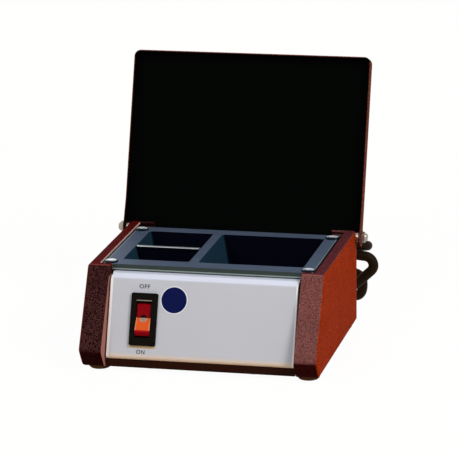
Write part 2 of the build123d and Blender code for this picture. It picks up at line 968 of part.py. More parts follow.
def blanket():
    """Mineral wool under the clamp plate, cut away round the thermostat."""
    wool = pack_plate(shrink - 1.0, shield_top, clamp_bottom, 6.0)
    window = thermostat_window(1.0)
    return wool - window


def thermostat_window(spare):
    """Clear space round the thermostat and its ears."""
    reach = thermostat_ear + small_screw_head / 2 + spare
    return block(
        thermostat_x - reach,
        thermostat_x + reach,
        thermostat_y - thermostat_radius - spare,
        thermostat_y + thermostat_radius + spare,
        shield_top - sheet - 1,
        clamp_bottom + 1,
    )


def heat_shield():
    """Bridge of bright sheet between the blanket and the base."""
    half = shield_half_width()
    skin = [
        (-half - shield_foot, base_top + sheet),
        (-half, base_top + sheet),
        (-half, shield_top),
        (half, shield_top),
        (half, base_top + sheet),
        (half + shield_foot, base_top + sheet),
    ]
    section = bent_section(skin, 1.4, sheet, Side.RIGHT)
    length = well_back - well_front - 2 * shrink
    bridge = extrude(Plane.XZ * section, amount=length / 2, both=True)
    bridge = Pos(pack_centre, pack_y, 0) * bridge
    bridge -= thermostat_window(1.0)
    for y in pack_stud_y():
        bridge -= Pos(pack_x, y, 0) * rod(6.0, shield_top - 3, shield_top + 1)
    for x in shield_screw_x():
        for y in shield_screw_y():
            bridge -= Pos(x, y, 0) * rod(small_screw_shank / 2, base_top - 1, base_top + 3)
    return bridge


nodes["heating_element"] = heating_element()
nodes["clamp_plate"] = clamp_plate()
nodes["insulation_blanket"] = blanket()
nodes["heat_shield"] = heat_shield()

nodes["pack_studs"] = group(
    Pos(pack_x, y, 0)
    * rod(pack_stud_radius, clamp_bottom - pack_stud_tail, well_bottom + pack_stud_reach)
    for y in pack_stud_y()
)


def hex_nut(across_corners, height, bore):
    """Plain hexagon nut standing on z = 0."""
    return extrude(RegularPolygon(across_corners, 6), amount=height) - rod(bore, -1, height + 1)


nodes["pack_nuts"] = group(
    Pos(pack_x, y, clamp_bottom - pack_nut_height)
    * hex_nut(pack_nut_corner, pack_nut_height, pack_stud_radius)
    for y in pack_stud_y()
)


def thermostat():
    """Disc thermostat: metal cap and flange above, insulating body below."""
    cap = rod(thermostat_radius, clamp_bottom - 3.5, clamp_bottom)
    flange = Pos(0, 0, clamp_bottom - 0.8) * extrude(
        SlotOverall(2 * thermostat_ear + 7, 7), amount=0.8
    )
    for x in (-thermostat_ear, thermostat_ear):
        flange -= Pos(x, 0, 0) * rod(small_screw_shank / 2, clamp_bottom - 3, clamp_bottom + 1)
    body = rod(thermostat_radius - 0.8, clamp_bottom - thermostat_height, clamp_bottom - 3.5)
    return Pos(thermostat_x, thermostat_y, 0) * (cap + flange + body)


def thermostat_tabs():
    """The thermostat's two flat terminals, bent out sideways."""
    low = clamp_bottom - thermostat_height
    tabs = []
    for side in (-1, 1):
        start = side * 2.0
        end = side * (thermostat_radius + tab_reach)
        tab = block(
            min(start, end),
            max(start, end),
            -blade_width / 2,
            blade_width / 2,
            low - blade_thickness,
            low,
        )
        tabs.append(Pos(thermostat_x, thermostat_y, 0) * tab)
    return tabs


nodes["thermostat"] = thermostat()
nodes["thermostat_tabs"] = group(thermostat_tabs())
fixing = Rot(180, 0, 0) * plain_screw(clamp_thickness + 0.8)
nodes["thermostat_screws"] = group(
    Pos(thermostat_x + x, thermostat_y, clamp_bottom - 0.8) * fixing
    for x in (-thermostat_ear, thermostat_ear)
)


# ---------------------------------------------------------------- terminals and earth
def terminal_block():
    """Three-way ceramic terminal block with wire holes and screw wells."""
    body = block(
        block_x - block_width / 2,
        block_x + block_width / 2,
        block_y - block_depth / 2,
        block_y + block_depth / 2,
        base_top,
        base_top + block_height,
    )
    for x in block_ways():
        body -= Pos(x, block_y, block_bore_z) * Rot(90, 0, 0) * Cylinder(2.0, block_depth + 2)
        for y in (-block_screw_offset, block_screw_offset):
            body -= Pos(x, block_y + y, 0) * rod(1.9, block_bore_z, base_top + block_height + 1)
    for x in block_screw_x():
        body -= block(
            x - 0.5,
            x + 0.5,
            block_y - block_depth,
            block_y + block_depth,
            base_top + block_height - 3,
            base_top + block_height + 1,
        )
        body -= Pos(x, block_y, 0) * rod(small_screw_shank / 2, base_top - 1, base_top + 6)
    return body


def block_ways():
    """X of the terminal block's three ways: neutral, live and earth."""
    return [block_x + i * block_width / 3 for i in (-1, 0, 1)]


def clamp_tubes():
    """Brass wire clamps inside the terminal block, with their screws."""
    tubes = []
    for x in block_ways():
        barrel = Cylinder(2.0, block_depth - 3) - Cylinder(core_radius, block_depth)
        barrel = Pos(x, block_y, block_bore_z) * Rot(90, 0, 0) * barrel
        for y in (-block_screw_offset, block_screw_offset):
            stem = Pos(x, block_y + y, 0)
            barrel += stem * rod(1.5, block_bore_z + 1.6, base_top + block_height - 1.5)
        tubes.append(barrel)
    return tubes


nodes["terminal_block"] = terminal_block()
nodes["terminal_clamps"] = group(clamp_tubes())

nodes["earth_stud"] = Pos(earth_x, earth_y, 0) * (
    rod(tray_screw_shank / 2, base_bottom - 0.2, base_top + 9)
    + Pos(0, 0, base_bottom - 1.4) * rod(3.4, 0, 1.4)
)
nodes["earth_nut"] = Pos(earth_x, earth_y, base_top + 1.0) * hex_nut(
    4.0, 3.0, tray_screw_shank / 2
)


def earth_tag():
    """Ring tag on the earth stud with a crimped barrel towards the front."""
    tag = rod(4.6, 0, 1.0) + block(-1.6, 1.6, -earth_tongue, 0, 0, 1.0)
    tag -= rod(tray_screw_shank / 2, -1, 2)
    barrel = Cylinder(core_radius + 0.7, 5.0) - Cylinder(core_radius, 6.0)
    tag += Pos(0, -earth_tongue - 2.0, core_radius + 0.7) * Rot(90, 0, 0) * barrel
    return Pos(earth_x, earth_y, base_top) * tag


nodes["earth_tag"] = earth_tag()


# ---------------------------------------------------------------- inner wiring
def sleeve():
    """Push-on sleeve for a flat blade that points up to z = 0 of its own frame."""
    body = Pos(0, 0, -sleeve_bite + sleeve_length / 2) * Box(
        sleeve_width, sleeve_thickness, sleeve_length
    )
    slot = Pos(0, 0, -sleeve_bite / 2) * Box(blade_width, blade_thickness, sleeve_bite + 0.001)
    return body - slot


sleeve_spare = sleeve_length - sleeve_bite
switch_ends = [
    switch_plane * Pos(0, s, -housing_depth - blade_length) * Rot(180, 0, 0)
    for s in (-blade_pitch, 0, blade_pitch)
]
tab_z = clamp_bottom - thermostat_height - blade_thickness / 2
tab_end = thermostat_radius + tab_reach
thermostat_ends = [
    Plane((thermostat_x - tab_end, thermostat_y, tab_z), x_dir=(0, 1, 0), z_dir=(-1, 0, 0)),
    Plane((thermostat_x + tab_end, thermostat_y, tab_z), x_dir=(0, 1, 0), z_dir=(1, 0, 0)),
]
element_back = pack_y + (well_back - well_front) / 2 - element_inset
element_z = clamp_top + 1.5 * blade_thickness
element_ends = [
    Plane((x, element_back + element_tab_reach, element_z), x_dir=(1, 0, 0), z_dir=(0, 1, 0))
    for x in element_tab_x
]
nodes["push_on_sleeves"] = group(
    end * sleeve() for end in switch_ends + thermostat_ends + element_ends
)


def sleeve_mouth(end, behind=3.0, aside=0.0):
    """Where a lead leaves a sleeve, and a point straight behind it."""
    place = Location(end) if isinstance(end, Plane) else end
    return [
        tuple((place * Pos(aside, 0, height)).position)
        for height in (sleeve_spare, sleeve_spare + behind)
    ]


neutral_x, live_x, earthed_x = block_ways()
block_front = block_y - block_depth / 2
block_stop = block_y - 1.0
pair_gap = 1.4
live_route = sleeve_mouth(switch_ends[0], 8.0) + [
    (-24.0, -6.0, 7.2),
    (live_x, 6.0, block_bore_z),
    (live_x, block_stop, block_bore_z),
]
switched_route = sleeve_mouth(switch_ends[1], 4.0) + [
    (-26.0, -35.0, 8.4),
] + sleeve_mouth(thermostat_ends[0], 12.0)[::-1]
lamp_route = sleeve_mouth(switch_ends[2]) + [
    (-39.0, -38.5, 8.0),
    (-30.0, 30.0, 8.0),
    (-12.0, 36.0, 14.0),
    (element_tab_x[0] - pair_gap, 36.0, element_z),
    sleeve_mouth(element_ends[0], aside=-pair_gap)[0],
]
neutral_route = [
    sleeve_mouth(element_ends[0], aside=pair_gap)[0],
    (element_tab_x[0] + pair_gap, 32.0, element_z),
    (element_tab_x[0], 16.0, 8.0),
    (neutral_x, 11.0, block_bore_z),
    (neutral_x, block_stop, block_bore_z),
]
heater_route = sleeve_mouth(thermostat_ends[1], 7.0) + [
    (39.0, 24.0, 11.5),
    (32.0, 36.0, element_z),
    (element_tab_x[1], 36.0, element_z),
    sleeve_mouth(element_ends[1])[0],
]
earth_route = [
    (earthed_x, block_stop, block_bore_z),
    (earthed_x, block_front - 11, block_bore_z),
    (earth_x, 4.0, base_top + core_radius + 0.7),
    (earth_x, earth_y - earth_tongue, base_top + core_radius + 0.7),
]
nodes["inner_leads"] = group(
    [
        tube(route, inner_lead_radius)[0]
        for route in (live_route, switched_route, lamp_route, neutral_route, heater_route)
    ]
    + [tube(earth_route, core_radius)[0]]
)


def supply_core(index, way_x):
    """One core of the mains lead, from the gland down to the back of its way."""
    x = gland_x + (index - 1) * core_spacing
    drop_y = block_y + block_depth / 2 + 3.8
    route = [
        (x, rear_inner - gland_tail, gland_z),
        (x, rear_inner - gland_tail - 6, gland_z),
        (way_x, drop_y, block_bore_z + 10),
        (way_x, drop_y, block_bore_z),
        (way_x, block_y + 1, block_bore_z),
    ]
    return tube(route, core_radius)[0]


nodes["supply_cores"] = group(supply_core(i, x) for i, x in enumerate(block_ways()))


# ---------------------------------------------------------------- screws of the sheets
up_screw = Rot(180, 0, 0) * plain_screw(2 * sheet + 1.6)
panel_up_screw = Rot(180, 0, 0) * plain_screw(panel_bottom - base_bottom + 3)
block_up_screw = Rot(180, 0, 0) * plain_screw(sheet + block_screw_tail, small_screw_rise - 0.4)
nodes["base_screws"] = group(
    [
        shape
        for x, y in base_screw_places()
        for shape in both_sides(Pos(x, y, foot_height) * up_screw)
    ]
    + [Pos(x, y, base_bottom) * panel_up_screw for x, y in panel_screw_places()]
    + [Pos(x, block_y, base_bottom) * block_up_screw for x in block_screw_x()]
)
rear_screw = Rot(-90, 0, 0) * plain_screw(2 * sheet + 2.6)
nodes["rear_screws"] = group(
    shape for x, z in rear_screw_places() for shape in both_sides(Pos(x, back_y, z) * rear_screw)
)
shield_screw = plain_screw(2 * sheet + 1)
nodes["shield_screws"] = group(
    Pos(x, y, base_top + sheet) * shield_screw for x in shield_screw_x() for y in shield_screw_y()
)


# ---------------------------------------------------------------- gland and mains lead
def cord_boot():
    """Moulded strain relief gripped by the rear panel, ribbed towards its tip."""
    groove = gland_bore_radius
    inner = rear_inner - gland_tail
    points = [
        (0, inner),
        (gland_bore_radius + 1.2, inner),
        (gland_bore_radius + 1.2, rear_inner),
        (groove, rear_inner),
        (groove, rear_outer),
        (gland_flange_radius, rear_outer),
        (gland_flange_radius, rear_outer + gland_flange),
    ]
    ribs = 5
    start = rear_outer + gland_flange
    step = (boot_end - start - 1.5) / ribs
    root = gland_flange_radius - 1.6
    fall = (root - boot_tip_radius) / ribs
    for i in range(ribs):
        radius = root - i * fall
        low = start + i * step
        points += [
            (radius, low),
            (radius, low + step * 0.65),
            (radius - 0.7, low + step * 0.65),
            (radius - 0.7, low + step),
        ]
    points += [(boot_tip_radius, boot_end - 1.5), (boot_tip_radius, boot_end), (0, boot_end)]
    return Pos(gland_x, 0, gland_z) * Rot(-90, 0, 0) * turned(points)


nodes["cord_boot"] = cord_boot()


# Route of the visible lead: folds behind the right cheek, then down to the coil.
lead_route = [
    (gland_x, boot_end, gland_z),
    (gland_x, 78.4, gland_z),
    (69.0, 78.4, 40.4),
    (69.0, 93.0, 36.6),
    (46.0, 93.0, 34.5),
    (46.0, 78.4, 36.0),
    (81.0, 78.4, 33.0),
    (59.0, 78.4, 12.0),
    (44.2, 78.4, 9.8),
    (44.2, 93.0, 17.0),
    (64.8, 93.0, 20.2),
    (64.8, 93.0, 3.2),
    (52.0, 99.5, 3.1),
    (39.1, 109.9, 3.1),
]


def coil_point(turns):
    """Centre of the lead after so many turns: in, up a layer, and out again."""
    reverse = coil_turns_in + 0.25
    radius = coil_outer - coil_pitch * (turns if turns < reverse else 2 * reverse - turns)
    climb = min(max((turns - coil_turns_in) / 0.5, 0), 1)
    rise = coil_pitch * (1 - math.cos(math.pi * climb)) / 2
    angle = math.radians(coil_start_angle) + 2 * math.pi * turns
    return Vector(
        coil_x + radius * math.cos(angle),
        coil_y + radius * math.sin(angle),
        lead_radius + rise,
    )


def coil_direction(turns):
    """Unit direction of the lead in the coil."""
    step = 0.01
    return (coil_point(turns + step) - coil_point(turns - step)).normalized()


def biarc(start, along_start, end, along_end):
    """Two arcs between two points, tangent to a direction at each."""
    chord = end - start
    a = 2 * (1 - along_start.dot(along_end))
    b = chord.dot(along_start + along_end)
    reach = (math.sqrt(b * b + a * chord.dot(chord)) - b) / a
    knee = start + along_start * reach
    other = end - along_end * reach
    middle = (knee + other) * 0.5
    return [
        Edge.make_tangent_arc(start, along_start, middle),
        Edge.make_tangent_arc(middle, (other - knee).normalized(), end),
    ]


def square_end():
    """Direction of the lead where it joins and leaves the coil."""
    angle = math.radians(coil_start_angle + 90)
    return Vector(math.cos(angle), math.sin(angle), 0)


def coil_path():
    """The whole coil as arcs of up to a quarter turn, ends square to the leads."""
    quarters = round(4 * (coil_turns_in + 0.5 + coil_turns_out))
    spots = [coil_point(i / 4) for i in range(quarters + 1)]
    ways = [coil_direction(i / 4) for i in range(quarters + 1)]
    ways[0] = ways[-1] = square_end()
    edges = []
    for i in range(quarters):
        edges += biarc(spots[i], ways[i], spots[i + 1], ways[i + 1])
    return Wire(edges)


coil = coil_path()
coil_start = coil @ 0
coil_end = coil @ 1
nodes["lead_coil"] = sweep(
    Plane(origin=coil_start, z_dir=square_end()) * Circle(lead_radius), path=coil
)


def least_gap(path, diameter, apart):
    """Least gap between parts of a lead that are at least `apart` from each other along it."""
    count = 600
    step = path.length / count
    spots = [path @ (i / count) for i in range(count + 1)]
    skip = math.ceil(apart / step)
    least = min(
        (spots[i] - spots[j]).length for i in range(len(spots)) for j in range(i + skip, len(spots))
    )
    return least - diameter


lead_route.append(tuple(coil_point(0)))
power_lead, lead_path, lead_radii = tube(lead_route, lead_radius)
nodes["power_lead"] = power_lead


# Route of the tail: off the coil's top layer, down to the surface and to the plug.
plug_rise = math.radians(plug_tilt)
plug_x, plug_y, plug_z = -31.5, 166.0, 8.0
tail_route = [
    tuple(coil_end),
    tuple(coil_end + square_end() * 16),
    (12.6, 150.0, 7.5),
    (-1.5, 161.5, 3.1),
    (plug_x + 14 * math.cos(plug_rise), plug_y, plug_z - 14 * math.sin(plug_rise)),
    (plug_x, plug_y, plug_z),
]
tail_lead, tail_path, tail_radii = tube(tail_route, lead_radius)
nodes["tail_lead"] = tail_lead


def cord_tie():
    """Strap round the two strands behind the right cheek, with a small buckle."""
    high = strand_at(1, 2)
    low = strand_at(5, 6)
    middle = (high + low) / 2
    span = (high - low).length + 2 * lead_radius
    rim = tie_spare + tie_thickness
    inner = SlotOverall(span + 2 * tie_spare, 2 * (lead_radius + tie_spare))
    outer = SlotOverall(span + 2 * rim, 2 * (lead_radius + rim))
    plane = Plane(origin=(tie_x, middle.Y, middle.Z), x_dir=(high - low).normalized(), z_dir=(1, 0, 0))
    strap = extrude(plane * (outer - inner), amount=tie_width / 2, both=True)
    buckle = plane * Pos(0, -lead_radius - tie_thickness - 1.0, 0) * Box(5.0, 2.2, tie_width + 1)
    return strap + buckle


def strand_at(i, j):
    """Where the straight run between two route points passes the tie."""
    a = Vector(*lead_route[i])
    b = Vector(*lead_route[j])
    return a + (b - a) * ((tie_x - a.X) / (b.X - a.X))


nodes["cord_tie"] = cord_tie()


# ---------------------------------------------------------------- mains plug
def plug_place(shape):
    """Set a plug shape, built along +Z from its boot tip, at the end of the lead."""
    tip_point = tail_route[-1]
    return Pos(*tip_point) * Rot(0, -90 + plug_tilt, 0) * shape


def plug_body():
    """Moulded plug: boot, waisted grip and round face with side notches."""
    points = [
        (0, 0),
        (boot_tip_radius, 0),
        (plug_grip_radius * 0.5, plug_boot),
        (plug_grip_radius * 0.68, plug_boot),
        (plug_grip_radius * 0.84, plug_boot + plug_grip * 0.14),
        (plug_grip_radius * 0.88, plug_boot + plug_grip * 0.4),
        (plug_grip_radius, plug_boot + plug_grip - 2),
        (plug_radius, plug_boot + plug_grip),
        (plug_radius, plug_boot + plug_grip + plug_face - 1),
        (plug_radius - 1, plug_boot + plug_grip + plug_face),
        (0, plug_boot + plug_grip + plug_face),
    ]
    body = turned(points)
    top = plug_boot + plug_grip + plug_face
    for side in (-1, 1):
        body -= Pos(side * plug_radius, 0, top - 5) * Box(3.6, 6.5, 12)
        body -= Pos(0, side * (plug_radius + 3.0), top - 4) * Box(14, 8, 9)
    for side in (-1, 1):
        body -= Pos(0, side * pin_spacing / 2, top - 10) * rod(pin_radius, 0, 12)
    return plug_place(body)


def plug_pins():
    """Two round contact pins."""
    top = plug_boot + plug_grip + plug_face
    pin = rod(pin_radius, top - 10, top + pin_length)
    pin = fillet(pin.edges().sort_by(Axis.Z)[-1], 1.6)
    return [plug_place(Pos(0, side * pin_spacing / 2, 0) * pin) for side in (-1, 1)]


def plug_earth_clips():
    """Side earth contacts in the plug's notches."""
    top = plug_boot + plug_grip + plug_face
    clips = []
    for side in (-1, 1):
        clip = Pos(side * (plug_radius - 1.4), 0, top - 5.5) * Box(0.8, 5.0, 11)
        clips.append(plug_place(clip))
    return clips


nodes["plug_body"] = plug_body()
nodes["plug_pins"] = group(plug_pins())
nodes["plug_earth_clips"] = group(plug_earth_clips())


# ---------------------------------------------------------------- written files
os.makedirs("parts", exist_ok=True)
for name, shape in nodes.items():
    export_step(shape, f"parts/{name}.step")

print("lead radii", [round(r, 1) for r in lead_radii])
print("tail radii", [round(r, 1) for r in tail_radii])
area = math.pi * lead_radius**2
for name, path in (("power_lead", lead_path), ("lead_coil", coil), ("tail_lead", tail_path)):
    ratio = nodes[name].volume / (area * path.length)
    print(name, "length", round(path.length, 1), "volume ratio", round(ratio, 4))
print("coil least gap", round(least_gap(coil, lead_diameter, 15), 2))
print("coil ends", coil_start, coil_end)
print("pivot", pivot, "switch pivot", switch_plane * Pos(0, 0, -rocker_pivot_depth))
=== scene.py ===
import math

import bmesh
import bpy
from mathutils import Matrix, Vector


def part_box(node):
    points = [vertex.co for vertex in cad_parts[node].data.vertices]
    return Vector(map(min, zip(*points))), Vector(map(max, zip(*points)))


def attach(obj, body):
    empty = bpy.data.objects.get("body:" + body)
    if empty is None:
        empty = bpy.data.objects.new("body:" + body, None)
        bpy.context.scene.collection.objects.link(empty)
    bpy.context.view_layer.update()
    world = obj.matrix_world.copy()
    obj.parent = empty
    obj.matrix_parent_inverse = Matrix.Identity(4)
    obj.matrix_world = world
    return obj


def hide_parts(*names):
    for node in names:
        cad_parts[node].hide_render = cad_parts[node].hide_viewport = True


# The heater's looks: camera and lights, materials for every CAD node, the mains lead
# as one smooth curve, and the print that the solids leave out. The scene is in metres;
# places on the heater are written in millimetres and multiplied by MM.

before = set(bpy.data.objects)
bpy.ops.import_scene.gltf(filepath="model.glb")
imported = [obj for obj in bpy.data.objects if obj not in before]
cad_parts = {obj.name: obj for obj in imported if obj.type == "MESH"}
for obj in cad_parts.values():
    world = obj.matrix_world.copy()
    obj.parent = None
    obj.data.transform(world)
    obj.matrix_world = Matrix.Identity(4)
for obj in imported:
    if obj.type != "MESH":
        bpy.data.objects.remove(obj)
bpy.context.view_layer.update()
MM = 0.001
bpy.context.scene.view_settings.view_transform = "Standard"

# ------------------------------------------------------------------ places from the solids
PIVOT = Vector((0, 42.2266, 55.7)) * MM
DECK_LOW, DECK_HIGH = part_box("well_tray")
DECK_TOP = DECK_HIGH.z
DECK_FRONT = DECK_LOW.y
LID_LEAN = math.radians(18.95)
LID_OUT = Vector((0, math.cos(LID_LEAN), -math.sin(LID_LEAN)))
LID_UP = Vector((0, math.sin(LID_LEAN), math.cos(LID_LEAN)))
LID_OFFSET = 5.2 * MM
LID_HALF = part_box("lid")[1].x
LID_LENGTH = 108.3 * MM
PANEL_FOOT = Vector((0, -74.6734, 7.8)) * MM
PANEL_LEAN = math.radians(20)
PANEL_OUT = Vector((0, -math.cos(PANEL_LEAN), math.sin(PANEL_LEAN)))
PANEL_UP = Vector((0, math.sin(PANEL_LEAN), math.cos(PANEL_LEAN)))
PANEL_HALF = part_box("front_panel")[1].x
SWITCH_X = -34.4
ROCKER_NOSE = 17.6
ROCKER_RIDGE = 24.9
LENS_LOW, LENS_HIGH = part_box("rocker_lens")
WELLS_LOW = Vector((-53.0, -40.0, 0.0)) * MM
WELLS_HIGH = Vector((54.3, 24.7, 58.2)) * MM


def on_panel(x, s, out):
    """Point on the front panel, from millimetres across, up along it and out of it."""
    return PANEL_FOOT + Vector((x, 0, 0)) * MM + PANEL_UP * s * MM + PANEL_OUT * out * MM


def up_panel(s):
    """Distance along PANEL_UP of a place that is so many millimetres up the panel."""
    return PANEL_UP.dot(PANEL_FOOT) + s * MM


# ------------------------------------------------------------------ camera
def add_camera():
    """Camera at the photograph's place, aimed by yaw, pitch and a slight roll."""
    place = (0.3827, -1.66867, 0.5249)
    yaw = math.radians(-12.87)
    pitch = math.radians(14.93)
    roll = math.radians(-0.74)
    picture_pixels, lens_pixels, film_width = 458, 3000, 36
    ahead = Vector((
        math.sin(yaw) * math.cos(pitch),
        math.cos(yaw) * math.cos(pitch),
        -math.sin(pitch),
    ))
    right = Vector((math.cos(yaw), -math.sin(yaw), 0))
    up = right.cross(ahead)
    rolled_right = right * math.cos(roll) + up * math.sin(roll)
    rolled_up = up * math.cos(roll) - right * math.sin(roll)
    data = bpy.data.cameras.new("camera")
    data.sensor_width = film_width
    data.lens = lens_pixels * film_width / picture_pixels
    data.clip_end = 20
    camera = bpy.data.objects.new("camera", data)
    turn = Matrix((rolled_right, rolled_up, -ahead)).transposed().to_4x4()
    camera.matrix_world = Matrix.Translation(place) @ turn
    bpy.context.scene.collection.objects.link(camera)
    bpy.context.scene.camera = camera


# ------------------------------------------------------------------ lights and floor
def add_light(name, place, target, size, power, colour):
    """Soft square lamp at a place, facing a target."""
    data = bpy.data.lights.new(name, "AREA")
    data.energy = power
    data.color = colour
    data.shape = "RECTANGLE"
    data.size = size
    data.size_y = size
    lamp = bpy.data.objects.new(name, data)
    lamp.location = place
    aim = Vector(target) - Vector(place)
    lamp.rotation_euler = aim.to_track_quat("-Z", "Y").to_euler()
    bpy.context.scene.collection.objects.link(lamp)


def seen_background(tree):
    """One where a camera, glossy or transmission ray looks at the surroundings."""
    path = tree.nodes.new("ShaderNodeLightPath")
    first = tree.nodes.new("ShaderNodeMath")
    first.operation = "MAXIMUM"
    second = tree.nodes.new("ShaderNodeMath")
    second.operation = "MAXIMUM"
    tree.links.new(path.outputs["Is Camera Ray"], first.inputs[0])
    tree.links.new(path.outputs["Is Glossy Ray"], first.inputs[1])
    tree.links.new(first.outputs[0], second.inputs[0])
    tree.links.new(path.outputs["Is Transmission Ray"], second.inputs[1])
    return second.outputs[0]


def add_floor():
    """Large pale floor that shows near white and keeps the object's shadow."""
    mesh = bpy.data.meshes.new("floor")
    reach = 14
    corners = [(-reach, -reach, 0), (reach, -reach, 0), (reach, reach, 0), (-reach, reach, 0)]
    mesh.from_pydata(corners, [], [(0, 1, 2, 3)])
    floor = bpy.data.objects.new("floor", mesh)
    bpy.context.scene.collection.objects.link(floor)
    material = bpy.data.materials.new("floor")
    material.use_nodes = True
    tree = material.node_tree
    tree.nodes.clear()
    matte = tree.nodes.new("ShaderNodeBsdfDiffuse")
    matte.inputs["Color"].default_value = (0.72, 0.60, 0.50, 1)
    white = tree.nodes.new("ShaderNodeEmission")
    white.inputs["Color"].default_value = (1, 1, 1, 1)
    white.inputs["Strength"].default_value = 1.04
    share = tree.nodes.new("ShaderNodeMath")
    share.operation = "MULTIPLY"
    share.inputs[1].default_value = 0.93
    mix = tree.nodes.new("ShaderNodeMixShader")
    out = tree.nodes.new("ShaderNodeOutputMaterial")
    tree.links.new(seen_background(tree), share.inputs[0])
    tree.links.new(share.outputs[0], mix.inputs["Fac"])
    tree.links.new(matte.outputs[0], mix.inputs[1])
    tree.links.new(white.outputs[0], mix.inputs[2])
    tree.links.new(mix.outputs[0], out.inputs["Surface"])
    floor.data.materials.append(material)


def add_world():
    """Even grey surroundings for light, white where they are looked at."""
    world = bpy.data.worlds.new("world")
    bpy.context.scene.world = world
    world.use_nodes = True
    tree = world.node_tree
    tree.nodes.clear()
    soft = tree.nodes.new("ShaderNodeBackground")
    soft.inputs["Color"].default_value = (0.80, 0.84, 0.92, 1)
    soft.inputs["Strength"].default_value = 0.22
    white = tree.nodes.new("ShaderNodeBackground")
    white.inputs["Color"].default_value = (1, 1, 1, 1)
    white.inputs["Strength"].default_value = 1.0
    mix = tree.nodes.new("ShaderNodeMixShader")
    out = tree.nodes.new("ShaderNodeOutputWorld")
    tree.links.new(seen_background(tree), mix.inputs["Fac"])
    tree.links.new(soft.outputs[0], mix.inputs[1])
    tree.links.new(white.outputs[0], mix.inputs[2])
    tree.links.new(mix.outputs[0], out.inputs["Surface"])


add_camera()
add_light(
    "key", place=(0.95, -0.75, 1.05), target=(0.0, -0.02, 0.05),
    size=0.55, power=13, colour=(1.0, 0.96, 0.90),
)
add_light(
    "front", place=(-0.55, -1.45, 0.95), target=(0.0, -0.05, 0.03),
    size=0.9, power=8.5, colour=(0.96, 0.98, 1.0),
)
add_light(
    "back", place=(-0.2, 1.1, 0.9), target=(0.0, 0.05, 0.08),
    size=0.8, power=5, colour=(1.0, 0.98, 0.95),
)
add_floor()
add_world()


# ------------------------------------------------------------------ shared shader groups
def new_group(name, inputs, outputs):
    """Empty shader group with named sockets; returns its tree and end nodes."""
    tree = bpy.data.node_groups.new(name, "ShaderNodeTree")
    kinds = {"f": "NodeSocketFloat", "c": "NodeSocketColor", "v": "NodeSocketVector"}
    for label, kind, value in inputs:
        socket = tree.interface.new_socket(label, in_out="INPUT", socket_type=kinds[kind])
        if value is not None:
            socket.default_value = value
    for label, kind in outputs:
        tree.interface.new_socket(label, in_out="OUTPUT", socket_type=kinds[kind])
    return tree, tree.nodes.new("NodeGroupInput"), tree.nodes.new("NodeGroupOutput")


def node(tree, kind, settings=None, links=None):
    """Add a node, set its plain properties and sockets, and link what feeds it."""
    made = tree.nodes.new(kind)
    for key, value in (settings or {}).items():
        if hasattr(made, key):
            setattr(made, key, value)
        else:
            made.inputs[key].default_value = value
    for key, source in (links or {}).items():
        tree.links.new(source, made.inputs[key])
    return made


def math_node(tree, operation, first, second, clamp=False):
    """Math on two sockets or numbers."""
    made = tree.nodes.new("ShaderNodeMath")
    made.operation = operation
    made.use_clamp = clamp
    for slot, value in enumerate((first, second)):
        if isinstance(value, (int, float)):
            made.inputs[slot].default_value = value
        else:
            tree.links.new(value, made.inputs[slot])
    return made.outputs[0]


# Places of the two inputs and of the result among a mix node's sockets.
MIX_SLOTS = {"FLOAT": (2, 3, 0), "VECTOR": (4, 5, 1), "RGBA": (6, 7, 2)}


def mix(tree, kind, mask, first, second):
    """Mix by a mask of two numbers, normals or colours, each a socket or plain."""
    first_slot, second_slot, result_slot = MIX_SLOTS[kind]
    made = node(tree, "ShaderNodeMix", {"data_type": kind}, {0: mask})
    for slot, value in ((first_slot, first), (second_slot, second)):
        if isinstance(value, tuple):
            made.inputs[slot].default_value = value
        else:
            tree.links.new(value, made.inputs[slot])
    return made.outputs[result_slot]


def mix_colour(tree, mask, first, second):
    """Mix of two colours by a mask, each a socket or a plain colour."""
    return mix(tree, "RGBA", mask, first, second)


def remap(tree, value, low, high, to_low=0.0, to_high=1.0):
    """Clamped change of range."""
    made = node(tree, "ShaderNodeMapRange", {
        "From Min": low, "From Max": high, "To Min": to_low, "To Max": to_high,
    }, {"Value": value})
    return made.outputs["Result"]


GRAIN_SCALE = 1500.0


def grain_group():
    """Wrinkle paint: raised irregular grains, lighter on top, duller between."""
    tree, start, end = new_group(
        "Wrinkle grain",
        [
            ("Dark", "c", (0.1, 0.02, 0.01, 1)),
            ("Light", "c", (0.4, 0.1, 0.06, 1)),
            ("Scale", "f", GRAIN_SCALE),
            ("Depth", "f", 0.6),
        ],
        [("Colour", "c"), ("Roughness", "f"), ("Normal", "v")],
    )
    place = node(tree, "ShaderNodeTexCoord").outputs["Object"]
    wander = node(tree, "ShaderNodeTexNoise", {"Detail": 2.0, "Roughness": 0.6},
                  {"Vector": place, "Scale": start.outputs["Scale"]})
    cells = node(tree, "ShaderNodeTexVoronoi", {"feature": "SMOOTH_F1", "Smoothness": 0.5},
                 {"Vector": place, "Scale": start.outputs["Scale"]})
    raised = math_node(tree, "SUBTRACT", 1.0, cells.outputs["Distance"])
    height = math_node(tree, "ADD", math_node(tree, "MULTIPLY", raised, 0.55),
                       math_node(tree, "MULTIPLY", wander.outputs["Fac"], 0.45))
    tops = remap(tree, height, 0.40, 0.80)
    broad = node(tree, "ShaderNodeTexNoise", {"Scale": 55.0, "Detail": 2.0}, {"Vector": place})
    patches = remap(tree, broad.outputs["Fac"], 0.3, 0.7, 0.8, 1.15)
    tops = math_node(tree, "MULTIPLY", tops, patches, clamp=True)
    tree.links.new(mix_colour(tree, tops, start.outputs["Dark"], start.outputs["Light"]),
                   end.inputs["Colour"])
    tree.links.new(remap(tree, tops, 0, 1, 0.62, 0.42), end.inputs["Roughness"])
    bump = node(tree, "ShaderNodeBump", {"Distance": 0.0004},
                {"Height": height, "Strength": start.outputs["Depth"]})
    tree.links.new(bump.outputs["Normal"], end.inputs["Normal"])
    return tree


